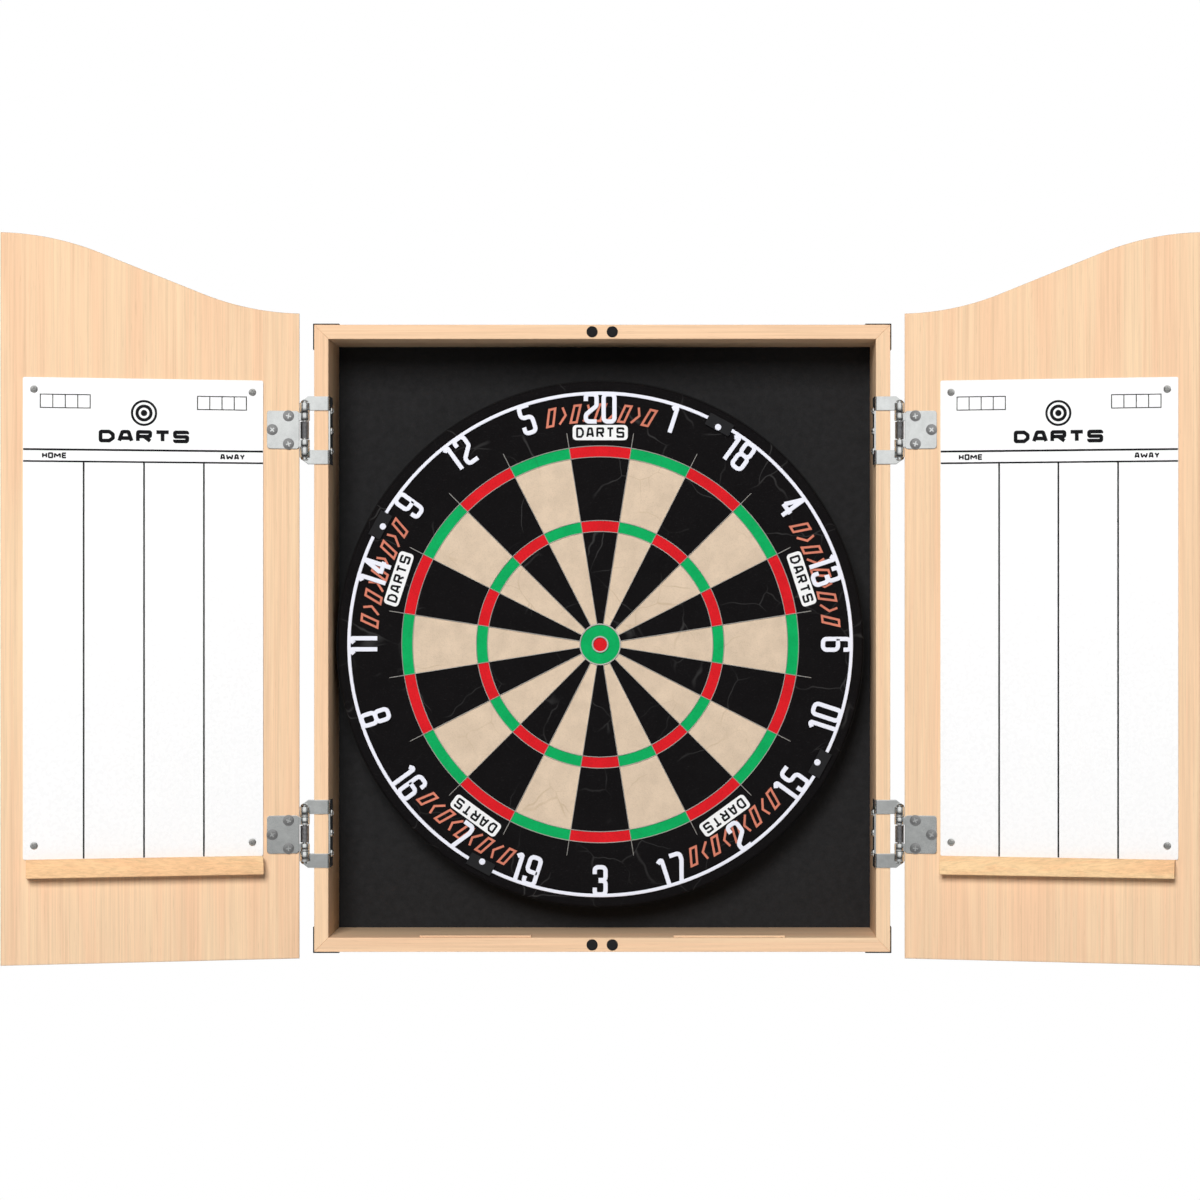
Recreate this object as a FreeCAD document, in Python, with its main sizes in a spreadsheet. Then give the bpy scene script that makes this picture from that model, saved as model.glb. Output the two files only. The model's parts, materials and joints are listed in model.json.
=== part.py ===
import FreeCAD, Part
import math
import os
import Sketcher

# Wall cabinet for a bristle dartboard, in millimetres.
# The origin is on the wall, at the middle of the cabinet: +X right, +Z up, the wall is y = 0 and
# the cabinet stands out of it towards -Y. The two doors are modelled standing open.

DIMENSIONS = {
    # cabinet
    "cabinet_width": 485,
    "cabinet_height": 528,
    "cabinet_depth": 85,
    "frame_board": 12,
    "back_thickness": 5,
    "corner_leg": 21,
    "corner_sheet": 1,
    "corner_depth": 60,
    "corner_setback": 0.5,
    "nail_setback": 1,
    "panel_pin_length": 18,
    "strip_length": 94,
    "strip_depth": 8,
    "strip_rise": 1.5,
    "strip_setback": 3,
    "strip_middle": 107,
    "bumper_radius": 4.7,
    "bumper_rise": 1.6,
    "bumper_edge": 0.6,
    "bumper_apart": 17,
    "wall_hole_radius": 2.5,
    "wall_hole_spacing": 260,
    # hinges
    "axis_x": 250,
    "axis_y": -88,
    "upper_hinge_z": 175,
    "lower_hinge_z": -164.5,
    "leaf_sheet": 1.5,
    "knuckle_radius": 4.2,
    "tab_overlap": 1,
    "pin_radius": 1.8,
    "pin_play": 0.05,
    "pin_reach": 24.2,
    "pin_head_radius": 2.7,
    "pin_head_rise": 1.2,
    "frame_knuckle_low": 14.5,
    "frame_knuckle_high": 23,
    "door_knuckle_low": 8,
    "door_knuckle_high": 14.2,
    "spring_half": 7.6,
    "spring_outer": 3.8,
    "spring_inner": 2.1,
    "arm_low": 16.6,
    "arm_high": 28.6,
    "wing_depth": 20,
    "wing_screw_depth": 11,
    "wing_screw_apart": 17,
    "plate_start": 4.8,
    "plate_end": 31.8,
    "plate_half": 16,
    "plate_corner": 2.5,
    "plate_screw_near": 9.4,
    "plate_screw_far": 23,
    "plate_screw_apart": 11.7,
    # doors
    "door_turn": 12,
    "door_edge": 4.4,
    "door_gap": 1,
    "door_width": 245,
    "door_thickness": 12,
    "door_bottom": -269,
    "door_low_top": 273,
    "door_high_top": 335,
    "arch_radius": 225,
    "sheet_start": 30.4,
    "sheet_end": 227.1,
    "sheet_bottom": -182,
    "sheet_top": 216,
    "sheet_thickness": 1.5,
    "sheet_screw_side": 9,
    "sheet_screw_drop": 10,
    "sheet_screw_lift": 11.5,
    "ledge_start": 31,
    "ledge_end": 224.6,
    "ledge_rise": 14.5,
    "ledge_reach": 15,
    "ledge_bevel": 7,
    "ledge_bevel_back": 5,
    # dartboard
    "board_x": -2.5,
    "board_z": -5.5,
    "board_back": -15,
    "board_radius": 225.5,
    "band_sheet": 1,
    "band_width": 33,
    "backing_thickness": 6,
    "sisal_thickness": 32,
    "sisal_edge": 3,
    "wire": 0.8,
    "wire_rise": 1.2,
    "cut_margin": 1,
    "double_outer": 169.2,
    "double_inner": 159.7,
    "treble_outer": 105.6,
    "treble_inner": 96.1,
    "bull_outer": 17.2,
    "bull_inner": 6.5,
    "radial_end": 183,
    "number_radius": 215.5,
    "number_line": 3,
    "number_sheet": 1.5,
    "number_gap": 0.6,
    "bull_wire": 1.2,
    "bull_rise": 1.4,
    "inner_bull_wire": 1.4,
    "inner_bull_rise": 2,
    "digit_height": 27,
    "digit_width": 13,
    "digit_stroke": 3.8,
    "digit_space": 2.2,
    "clip_length": 23,
    "clip_width": 11,
    "clip_radius": 213,
    "clip_turn": 28.5,
    "clip_rise": 2.8,
    "clip_gap": 0.1,
    "clip_wall": 1.2,
    "clip_bite": 5,
    "clip_pin_inset": 2.5,
    "clip_pin_radius": 2.7,
    "clip_pin_rise": 0.6,
    "pad_radius": 9,
    "pad_circle": 150,
    "pad_gap": 0.5,
    "centre_screw_radius": 2.4,
    "centre_head_gap": 0.3,
    "slot_setback": 5,
    "hanger_screw_lift": 9,
    "hanger_screw_apart": 14,
    "hanger_screw_bite": 4,
    "centre_head_radius": 6,
    "centre_head_thickness": 2.5,
    "centre_screw_bite": 22,
    "slot_play": 0.08,
    # hanger bracket
    "hanger_sheet": 1.5,
    "hanger_width": 60,
    "hanger_rise": 34,
    "hanger_drop": 16,
    "hanger_front": 9.4,
    "hanger_foot": 16,
    # screws: radius of the head, its rise, radius of the shank, its bite
    "pan_head": 3.4,
    "pan_rise": 1.9,
    "pan_shank": 1.6,
    "pan_bite": 9,
    "flat_head": 3.9,
    "flat_sink": 1.4,
    "flat_shank": 1.7,
    "flat_bite": 9,
    "sheet_head": 3.1,
    "sheet_rise": 1,
    "sheet_shank": 1.3,
    "sheet_bite": 8,
    "nail_head": 1.8,
    "nail_rise": 0.5,
    "nail_shank": 0.7,
    "nail_bite": 8,
}

NUMBERS = (20, 1, 18, 4, 13, 6, 10, 15, 2, 17, 3, 19, 7, 16, 8, 11, 14, 9, 12, 5)
UPSIDE_IN = (10, 15, 2, 17, 3, 19, 7, 16, 8)

# The strokes of each digit: a top, b upper right, c lower right, d bottom, e lower left,
# f upper left, g middle.
STROKES = {
    "0": "abcdef",
    "1": "bc",
    "2": "abged",
    "3": "abgcd",
    "4": "fgbc",
    "5": "afgcd",
    "6": "afgedc",
    "7": "abc",
    "8": "abcdefg",
    "9": "abcdfg",
}

SIDES = {"left": -1, "right": 1}
LEVELS = {"upper": "upper_hinge_z", "lower": "lower_hinge_z"}

AXES = {
    "+X": FreeCAD.Rotation(FreeCAD.Vector(0, 1, 0), 90),
    "-X": FreeCAD.Rotation(FreeCAD.Vector(0, 1, 0), -90),
    "+Y": FreeCAD.Rotation(FreeCAD.Vector(1, 0, 0), -90),
    "-Y": FreeCAD.Rotation(FreeCAD.Vector(1, 0, 0), 90),
    "+Z": FreeCAD.Rotation(),
    "-Z": FreeCAD.Rotation(FreeCAD.Vector(1, 0, 0), 180),
}

doc = FreeCAD.newDocument("dartboard_cabinet")
sheet = doc.addObject("Spreadsheet::Sheet", "Dims")
for row, (alias, amount) in enumerate(DIMENSIONS.items(), start=1):
    sheet.set(f"A{row}", alias)
    sheet.set(f"B{row}", str(amount))
    sheet.setAlias(f"B{row}", alias)
doc.recompute()


class Dim:
    """A size together with the sheet expression that gives it, so that one formula makes both."""

    def __init__(self, value, text):
        self.value = value
        self.text = text

    def __add__(self, other):
        other = as_dim(other)
        return Dim(self.value + other.value, f"({self.text} + {other.text})")

    def __sub__(self, other):
        other = as_dim(other)
        return Dim(self.value - other.value, f"({self.text} - {other.text})")

    def __rsub__(self, other):
        return as_dim(other) - self

    def __mul__(self, factor):
        return Dim(self.value * factor, f"({self.text} * {factor})")

    def __truediv__(self, factor):
        return Dim(self.value / factor, f"({self.text} / {factor})")

    def __neg__(self):
        return self * -1

    __radd__ = __add__
    __rmul__ = __mul__


def as_dim(number):
    return number if isinstance(number, Dim) else Dim(float(number), str(float(number)))


def size(alias):
    """The driving dimension of that name."""
    return Dim(float(DIMENSIONS[alias]), f"Dims.{alias}")


def bind(thing, path, dim):
    thing.setExpression(path, as_dim(dim).text)


def place(thing, at):
    for letter, dim in zip("xyz", at):
        bind(thing, f"Placement.Base.{letter}", dim)


# ---- solids from Part primitives ------------------------------------------------------------

def box(name, low, high):
    """A box from its low corner to its high corner; the two may be given in either order."""
    solid = doc.addObject("Part::Box", name)
    corner = []
    for length, first, second in zip(("Length", "Width", "Height"), low, high):
        first, second = sorted((as_dim(first), as_dim(second)), key=lambda dim: dim.value)
        bind(solid, length, second - first)
        corner.append(first)
    place(solid, corner)
    return solid


def cylinder(name, base, along, radius, length):
    solid = doc.addObject("Part::Cylinder", name)
    solid.Placement.Rotation = AXES[along]
    bind(solid, "Radius", radius)
    bind(solid, "Height", length)
    place(solid, base)
    return solid


def cone(name, base, along, radius, end_radius, length):
    solid = doc.addObject("Part::Cone", name)
    solid.Placement.Rotation = AXES[along]
    bind(solid, "Radius1", radius)
    bind(solid, "Radius2", end_radius)
    bind(solid, "Height", length)
    place(solid, base)
    return solid


def fuse(name, solids):
    joined = doc.addObject("Part::MultiFuse", name)
    joined.Shapes = solids
    joined.Refine = True
    return joined


def group(name, solids):
    """Like pieces that share one node, each still a solid of its own."""
    bundle = doc.addObject("Part::Compound", name)
    bundle.Links = solids
    return bundle


def cut(name, base, *tools):
    """The base with every tool taken out of it, one after another."""
    for number, tool in enumerate(tools, start=1):
        last = number == len(tools)
        result = doc.addObject("Part::Cut", name if last else f"{name}_cut_{number}")
        result.Base = base
        result.Tool = tool
        base = result
    return base


def screw(name, at, along, kind):
    """A screw whose shank runs along the given axis from the surface at `at`.

    A pan, sheet or nail head stands on the surface; a flat head is sunk flush in it.
    """
    shank = cylinder(f"{name}_shank", at, along, size(f"{kind}_shank"), size(f"{kind}_bite"))
    if kind == "flat":
        head = cone(f"{name}_head", at, along, size("flat_head"), size("flat_shank"), size("flat_sink"))
    else:
        back = {"+": "-", "-": "+"}[along[0]] + along[1]
        head = cylinder(f"{name}_head", at, back, size(f"{kind}_head"), size(f"{kind}_rise"))
    return fuse(name, [shank, head])


# ---- sketched solids ------------------------------------------------------------------------

def new_sketch(body, plane):
    sketch = body.newObject("Sketcher::SketchObject", f"{body.Name}_sketch")
    origin_plane = next(part for part in body.Origin.OriginFeatures if part.Role == plane)
    sketch.AttachmentSupport = [(origin_plane, "")]
    sketch.MapMode = "FlatFace"
    return sketch


def locate(sketch, geometry, vertex, x, y):
    """Pins one point of the sketch at the distances x and y from its origin."""
    for kind, dim in (("DistanceX", as_dim(x)), ("DistanceY", as_dim(y))):
        index = sketch.addConstraint(
            Sketcher.Constraint(kind, -1, 1, geometry, vertex, dim.value)
        )
        sketch.setExpression(f"Constraints[{index}]", dim.text)


def draw_polygon(sketch, points):
    points = [(as_dim(x), as_dim(y)) for x, y in points]
    vectors = [FreeCAD.Vector(x.value, y.value, 0) for x, y in points]
    first = sketch.GeometryCount
    count = len(points)
    for number in range(count):
        after = (number + 1) % count
        sketch.addGeometry(Part.LineSegment(vectors[number], vectors[after]), False)
    for number in range(count):
        after = (number + 1) % count
        sketch.addConstraint(Sketcher.Constraint("Coincident", first + number, 2, first + after, 1))
    for number, (x, y) in enumerate(points):
        locate(sketch, first + number, 1, x, y)


def draw_circle(sketch, radius):
    """A circle round the sketch's origin."""
    radius = as_dim(radius)
    curve = Part.Circle(FreeCAD.Vector(0, 0, 0), FreeCAD.Vector(0, 0, 1), radius.value)
    geometry = sketch.addGeometry(curve, False)
    sketch.addConstraint(Sketcher.Constraint("Coincident", geometry, 3, -1, 1))
    index = sketch.addConstraint(Sketcher.Constraint("Radius", geometry, radius.value))
    sketch.setExpression(f"Constraints[{index}]", radius.text)


def pad(body, sketch, length, both_ways=False):
    feature = body.newObject("PartDesign::Pad", f"{body.Name}_pad")
    feature.Profile = sketch
    feature.Midplane = both_ways
    bind(feature, "Length", length)
    return feature


def prism(name, plane, points, length, at=(0, 0, 0), both_ways=False):
    """A polygon sketched on one origin plane and padded: from XZ_Plane a pad grows towards -Y."""
    body = doc.addObject("PartDesign::Body", name)
    sketch = new_sketch(body, plane)
    draw_polygon(sketch, points)
    pad(body, sketch, length, both_ways)
    place(body, at)
    return body


def disc(name, radius, length, at, edge_radius=None):
    """A round plate that grows towards -Y, with a rounded front edge if one is asked for."""
    body = doc.addObject("PartDesign::Body", name)
    sketch = new_sketch(body, "XZ_Plane")
    draw_circle(sketch, radius)
    feature = pad(body, sketch, length)
    place(body, at)
    if edge_radius is not None:
        doc.recompute()
        front = min(
            range(len(feature.Shape.Edges)),
            key=lambda index: feature.Shape.Edges[index].CenterOfMass.y,
        )
        rounding = body.newObject("PartDesign::Fillet", f"{name}_rounding")
        rounding.Base = (feature, [f"Edge{front + 1}"])
        bind(rounding, "Radius", edge_radius)
    return body


# ---- the cabinet ----------------------------------------------------------------------------

half_width = size("cabinet_width") / 2
half_height = size("cabinet_height") / 2
inner_x = half_width - size("frame_board")
inner_z = half_height - size("frame_board")
front_y = -size("cabinet_depth")
panel_y = -size("back_thickness")
nodes = {}


NAIL_SHARES = (0.2, 0.8)
NAIL_LEG_SHARE = 0.6
PANEL_PIN_SHARE = 0.3


def make_corner_fixings():
    """Two nails through each leg of each corner plate, at the ends of the plate's depth."""
    nails = []
    leg_middle = size("corner_leg") * NAIL_LEG_SHARE
    for vertical, side_z in (("top", 1), ("bottom", -1)):
        for side, side_x in SIDES.items():
            for number, share in enumerate(NAIL_SHARES):
                y = front_y + size("nail_setback") + size("corner_depth") * share
                on_top = (
                    side_x * (half_width - leg_middle),
                    y,
                    side_z * (half_height + size("corner_sheet")),
                )
                on_side = (
                    side_x * (half_width + size("corner_sheet")),
                    y,
                    side_z * (half_height - leg_middle),
                )
                name = f"nail_{vertical}_{side}_{number}"
                nails.append(screw(f"{name}_a", on_top, "-Z" if side_z > 0 else "+Z", "nail"))
                nails.append(screw(f"{name}_b", on_side, "-X" if side_x > 0 else "+X", "nail"))
    nodes["corner_nails"] = group("corner_nails", nails)


def make_corner_plates():
    for vertical, side_z in (("top", 1), ("bottom", -1)):
        for side, side_x in SIDES.items():
            leg = size("corner_leg")
            gauge = size("corner_sheet")
            outline = [
                (side_x * (half_width - leg), side_z * half_height),
                (side_x * (half_width - leg), side_z * (half_height + gauge)),
                (side_x * (half_width + gauge), side_z * (half_height + gauge)),
                (side_x * (half_width + gauge), side_z * (half_height - leg)),
                (side_x * half_width, side_z * (half_height - leg)),
                (side_x * half_width, side_z * half_height),
            ]
            name = f"corner_plate_{vertical}_{side}"
            at = (0, front_y + size("corner_depth") + size("corner_setback"), 0)
            sheet_body = prism(f"{name}_sheet", "XZ_Plane", outline, size("corner_depth"), at)
            nodes[name] = cut(name, sheet_body, nodes["corner_nails"])


def make_frame_boards():
    """Four boards with mitred ends; each is a trapezium seen from the front."""
    top_outline = [
        (-half_width, half_height),
        (half_width, half_height),
        (inner_x, inner_z),
        (-inner_x, inner_z),
    ]
    bottom_outline = [(x, -z) for x, z in top_outline]
    right_outline = [
        (half_width, half_height),
        (half_width, -half_height),
        (inner_x, -inner_z),
        (inner_x, inner_z),
    ]
    left_outline = [(-x, z) for x, z in right_outline]
    boards = {
        "frame_top_rail": top_outline,
        "frame_bottom_rail": bottom_outline,
        "frame_left_stile": left_outline,
        "frame_right_stile": right_outline,
    }
    for name, outline in boards.items():
        blank = prism(f"{name}_blank", "XZ_Plane", outline, size("cabinet_depth"))
        tools = [nodes["corner_nails"], nodes["back_panel_screws"]]
        if "stile" in name:
            tools.append(nodes["hinge_frame_screws"])
        nodes[name] = cut(name, blank, *tools)


def make_back_panel():
    """The back panel lies inside the frame, flush with its rear, with four wall holes."""
    blank = box("back_panel_blank", (-inner_x, panel_y, -inner_z), (inner_x, 0, inner_z))
    reach = size("wall_hole_spacing") / 2
    holes = [
        cylinder(
            f"wall_hole_{number}",
            (side_x * reach, size("cut_margin"), side_z * reach),
            "-Y",
            size("wall_hole_radius"),
            size("back_thickness") + size("cut_margin") * 2,
        )
        for number, (side_x, side_z) in enumerate(((-1, -1), (1, -1), (1, 1), (-1, 1)))
    ]
    nodes["back_panel"] = cut(
        "back_panel",
        blank,
        group("wall_holes", holes),
        nodes["hanger_screws"],
        nodes["back_panel_screws"],
    )


def make_back_panel_screws():
    """Small screws driven through the frame boards into the edges of the back panel."""
    middle_y = panel_y / 2
    reach_x = size("cabinet_width") * PANEL_PIN_SHARE
    reach_z = size("cabinet_height") * PANEL_PIN_SHARE
    pins = []
    for number, share in enumerate((-1, 0, 1)):
        for side, side_x in SIDES.items():
            at = (side_x * half_width, middle_y, share * reach_z)
            pins.append(deep_pin(f"panel_pin_{side}_{number}", at, "-X" if side_x > 0 else "+X"))
        for vertical, side_z in (("top", 1), ("bottom", -1)):
            at = (share * reach_x, middle_y, side_z * half_height)
            pins.append(deep_pin(f"panel_pin_{vertical}_{number}", at, "-Z" if side_z > 0 else "+Z"))
    nodes["back_panel_screws"] = group("back_panel_screws", pins)


def deep_pin(name, at, along):
    """A headless pin that goes through the frame board and on into the panel's edge."""
    return cylinder(name, at, along, size("nail_shank"), size("panel_pin_length"))


def make_stop_strips():
    """Two low wooden strips on the inside of the bottom board, near its front edge."""
    half = size("strip_length") / 2
    for side, side_x in SIDES.items():
        name = f"stop_strip_{side}"
        middle = side_x * size("strip_middle")
        near_y = front_y + size("strip_setback")
        low = (middle - half, near_y + size("strip_depth"), -inner_z)
        high = (middle + half, near_y, -inner_z + size("strip_rise"))
        nodes[name] = box(name, low, high)


def make_bumpers():
    """Round rubber stops on the frame's front edge, one for each door at the top and bottom."""
    middle_z = half_height - size("frame_board") / 2
    for vertical, side_z in (("top", 1), ("bottom", -1)):
        for side, side_x in SIDES.items():
            name = f"door_bumper_{vertical}_{side}"
            at = (side_x * size("bumper_apart") / 2, front_y, side_z * middle_z)
            nodes[name] = disc(
                name, size("bumper_radius"), size("bumper_rise"), at, size("bumper_edge")
            )


# ---- the hinges -----------------------------------------------------------------------------

def make_hinge_pins():
    for side, side_x in SIDES.items():
        for level, height in LEVELS.items():
            name = f"hinge_pin_{side}_{level}"
            x = side_x * size("axis_x")
            y = size("axis_y")
            z = size(height)
            reach = size("pin_reach")
            parts = [cylinder(f"{name}_rod", (x, y, z - reach), "+Z", size("pin_radius"), reach * 2)]
            rise = size("pin_head_rise")
            for end, way in (("top", 1), ("bottom", -1)):
                start = z + way * reach
                along = "+Z" if way > 0 else "-Z"
                parts.append(
                    cylinder(f"{name}_{end}", (x, y, start), along, size("pin_head_radius"), rise)
                )
            nodes[name] = fuse(name, parts)


def make_hinge_springs():
    """The closing spring fills the middle of the barrel, clear of the pin."""
    for side, side_x in SIDES.items():
        for level, height in LEVELS.items():
            name = f"hinge_spring_{side}_{level}"
            half = size("spring_half")
            base = (side_x * size("axis_x"), size("axis_y"), size(height) - half)
            tube = cylinder(f"{name}_tube", base, "+Z", size("spring_outer"), half * 2)
            hollow = cylinder(f"{name}_hollow", base, "+Z", size("spring_inner"), half * 2)
            nodes[name] = cut(name, tube, hollow)


def make_hinge_frame_screws():
    """Three pan-head screws in each wing, driven sideways into the frame's stile."""
    screws = []
    for side, side_x in SIDES.items():
        for level, height in LEVELS.items():
            for number, share in enumerate((-1, 0, 1)):
                at = (
                    side_x * (inner_x - size("leaf_sheet")),
                    front_y + size("wing_screw_depth"),
                    size(height) + share * size("wing_screw_apart"),
                )
                along = "+X" if side_x > 0 else "-X"
                screws.append(screw(f"wing_screw_{side}_{level}_{number}", at, along, "pan"))
    nodes["hinge_frame_screws"] = group("hinge_frame_screws", screws)


def make_hinge_frame_leaves():
    """Two arms across the frame's front edge, a wing along its inner wall, two knuckles."""
    for side, side_x in SIDES.items():
        for level, height in LEVELS.items():
            name = f"hinge_frame_leaf_{side}_{level}"
            z = size(height)
            axis = side_x * size("axis_x")
            wing = side_x * inner_x
            wing_face = side_x * (inner_x - size("leaf_sheet"))
            parts = [
                box(
                    f"{name}_wing",
                    (wing_face, front_y, z - size("arm_high")),
                    (wing, front_y + size("wing_depth"), z + size("arm_high")),
                )
            ]
            for end, way in (("top", 1), ("bottom", -1)):
                parts.append(
                    box(
                        f"{name}_arm_{end}",
                        (wing_face, front_y - size("leaf_sheet"), z + way * size("arm_low")),
                        (axis, front_y, z + way * size("arm_high")),
                    )
                )
                parts.append(
                    cylinder(
                        f"{name}_knuckle_{end}",
                        (axis, size("axis_y"), z + way * size("frame_knuckle_low")),
                        "+Z" if way > 0 else "-Z",
                        size("knuckle_radius"),
                        size("frame_knuckle_high") - size("frame_knuckle_low"),
                    )
                )
            nodes[name] = cut(
                name,
                fuse(f"{name}_blank", parts),
                nodes[f"hinge_pin_{side}_{level}"],
                nodes["hinge_frame_screws"],
            )


# ---- the doors, each made about its own hinge axis and then turned ---------------------------

inner_face = -size("door_gap")
leaf_face = inner_face - size("leaf_sheet")
sheet_face = inner_face - size("sheet_thickness")


def hang_door_piece(piece, side_x):
    """Puts a piece made about the origin on its hinge axis, turned as the open door stands."""
    turn = -side_x * DIMENSIONS["door_turn"]
    piece.Placement.Rotation = FreeCAD.Rotation(FreeCAD.Vector(0, 0, 1), turn)
    place(piece, (side_x * size("axis_x"), size("axis_y"), 0))
    return piece


def from_edge(alias, side_x):
    """The x of a point measured from the door's hinge edge, about the hinge axis."""
    return side_x * (size("door_edge") + size(alias))


def door_arcs():
    """The radius of the arcs in the door's top edge, and the angle of the slope between them.

    The top is a hollow arc, a straight slope and a round arc of one radius, level at both edges.
    With width w, rise r and arc radius R, the slope's length is sqrt(w^2 + (2R - r)^2 - 4R^2).
    """
    width = size("door_width").value
    rise = (size("door_high_top") - size("door_low_top")).value
    radius = size("arch_radius").value
    slope = math.sqrt(width ** 2 + (2 * radius - rise) ** 2 - 4 * radius ** 2)
    angle = math.atan2(width, 2 * radius - rise) - math.atan2(slope, 2 * radius)
    return radius, angle


def draw_door(sketch, side_x):
    """Straight sides and bottom, and the S-shaped top, with its arcs tangent to the slope."""
    radius, angle = door_arcs()
    hinge = side_x * size("door_edge")
    free = side_x * (size("door_edge") + size("door_width"))
    bottom = size("door_bottom")
    low = size("door_low_top")
    high = size("door_high_top")

    def point(x, y):
        return FreeCAD.Vector(x, y, 0)

    low_centre = point(hinge.value, low.value + radius)
    high_centre = point(free.value, high.value - radius)
    low_tangent = low_centre + point(side_x * radius * math.sin(angle), -radius * math.cos(angle))
    high_tangent = high_centre + point(-side_x * radius * math.sin(angle), radius * math.cos(angle))
    low_middle = low_centre + point(
        side_x * radius * math.sin(angle / 2), -radius * math.cos(angle / 2)
    )
    high_middle = high_centre + point(
        -side_x * radius * math.sin(angle / 2), radius * math.cos(angle / 2)
    )
    corners = {
        "low": point(hinge.value, low.value),
        "hinge": point(hinge.value, bottom.value),
        "free": point(free.value, bottom.value),
        "high": point(free.value, high.value),
    }
    hinge_edge = sketch.addGeometry(Part.LineSegment(corners["low"], corners["hinge"]), False)
    bottom_edge = sketch.addGeometry(Part.LineSegment(corners["hinge"], corners["free"]), False)
    free_edge = sketch.addGeometry(Part.LineSegment(corners["free"], corners["high"]), False)
    slope = sketch.addGeometry(Part.LineSegment(high_tangent, low_tangent), False)
    high_arc = sketch.addGeometry(Part.Arc(corners["high"], high_middle, high_tangent), False)
    low_arc = sketch.addGeometry(Part.Arc(low_tangent, low_middle, corners["low"]), False)

    def arc_ends(arc, start):
        """The vertex numbers of an arc's end nearest to the point `start`, and of its other end."""
        first = sketch.getPoint(arc, 1)
        return (1, 2) if first.distanceToPoint(start) < 1e-3 else (2, 1)

    high_start, high_end = arc_ends(high_arc, corners["high"])
    low_start, low_end = arc_ends(low_arc, low_tangent)
    joints = [
        ("Coincident", hinge_edge, 2, bottom_edge, 1),
        ("Coincident", bottom_edge, 2, free_edge, 1),
        ("Coincident", free_edge, 2, high_arc, high_start),
        ("Tangent", high_arc, high_end, slope, 1),
        ("Tangent", slope, 2, low_arc, low_start),
        ("Coincident", low_arc, low_end, hinge_edge, 1),
    ]
    for joint in joints:
        sketch.addConstraint(Sketcher.Constraint(*joint))
    locate(sketch, bottom_edge, 1, hinge, bottom)
    locate(sketch, bottom_edge, 2, free, bottom)
    locate(sketch, free_edge, 2, free, high)
    locate(sketch, hinge_edge, 1, hinge, low)
    for arc in (high_arc, low_arc):
        index = sketch.addConstraint(Sketcher.Constraint("Radius", arc, radius))
        sketch.setExpression(f"Constraints[{index}]", "Dims.arch_radius")
    for arc, upright in ((high_arc, free), (low_arc, hinge)):
        index = sketch.addConstraint(Sketcher.Constraint("DistanceX", -1, 1, arc, 3, upright.value))
        sketch.setExpression(f"Constraints[{index}]", upright.text)


def make_door_screws(side, side_x):
    """The countersunk hinge screws and the four scoreboard screws of one door."""
    hinge_screws = []
    for level, height in LEVELS.items():
        for number, (alias, share) in enumerate(
            (("plate_screw_near", 1), ("plate_screw_near", -1), ("plate_screw_far", 0))
        ):
            at = (
                from_edge(alias, side_x),
                leaf_face,
                size(height) + share * size("plate_screw_apart"),
            )
            hinge_screws.append(screw(f"plate_screw_{side}_{level}_{number}", at, "+Y", "flat"))
    sheet_screws = []
    inset = size("sheet_screw_side")
    ends = (size("sheet_start") + inset, size("sheet_end") - inset)
    heights = (
        size("sheet_bottom") + size("sheet_screw_lift"),
        size("sheet_top") - size("sheet_screw_drop"),
    )
    for column, u in enumerate(ends):
        for line, z in enumerate(heights):
            at = (side_x * (size("door_edge") + u), sheet_face, z)
            sheet_screws.append(screw(f"sheet_screw_{side}_{column}_{line}", at, "+Y", "sheet"))
    return (
        group(f"{side}_hinge_door_screws", hinge_screws),
        group(f"{side}_scoreboard_screws", sheet_screws),
    )


def make_door_leaf(name, side_x, height, screws):
    """A plate on the door's inner face with two knuckles that turn on the hinge pin."""
    z = size(height)
    plate = prism(
        f"{name}_plate",
        "XZ_Plane",
        plate_outline(side_x),
        size("leaf_sheet"),
        (0, inner_face, z),
    )
    parts = [plate]
    for end, way in (("top", 1), ("bottom", -1)):
        low = z + way * size("door_knuckle_low")
        high = z + way * size("door_knuckle_high")
        reach = side_x * (size("plate_start") + size("tab_overlap"))
        parts.append(box(f"{name}_tab_{end}", (0, leaf_face, low), (reach, inner_face, high)))
        parts.append(
            cylinder(
                f"{name}_knuckle_{end}",
                (0, 0, low),
                "+Z" if way > 0 else "-Z",
                size("knuckle_radius"),
                size("door_knuckle_high") - size("door_knuckle_low"),
            )
        )
    bore = cylinder(
        f"{name}_bore",
        (0, 0, z - size("plate_half")),
        "+Z",
        size("pin_radius") + size("pin_play"),
        size("plate_half") * 2,
    )
    return cut(name, fuse(f"{name}_blank", parts), bore, screws)


def plate_outline(side_x):
    """A rectangle whose two corners away from the hinge are cut off at 45 degrees."""
    start = size("plate_start")
    end = size("plate_end")
    half = size("plate_half")
    corner = size("plate_corner")
    return [
        (side_x * start, -half),
        (side_x * (end - corner), -half),
        (side_x * end, -half + corner),
        (side_x * end, half - corner),
        (side_x * (end - corner), half),
        (side_x * start, half),
    ]


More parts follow.
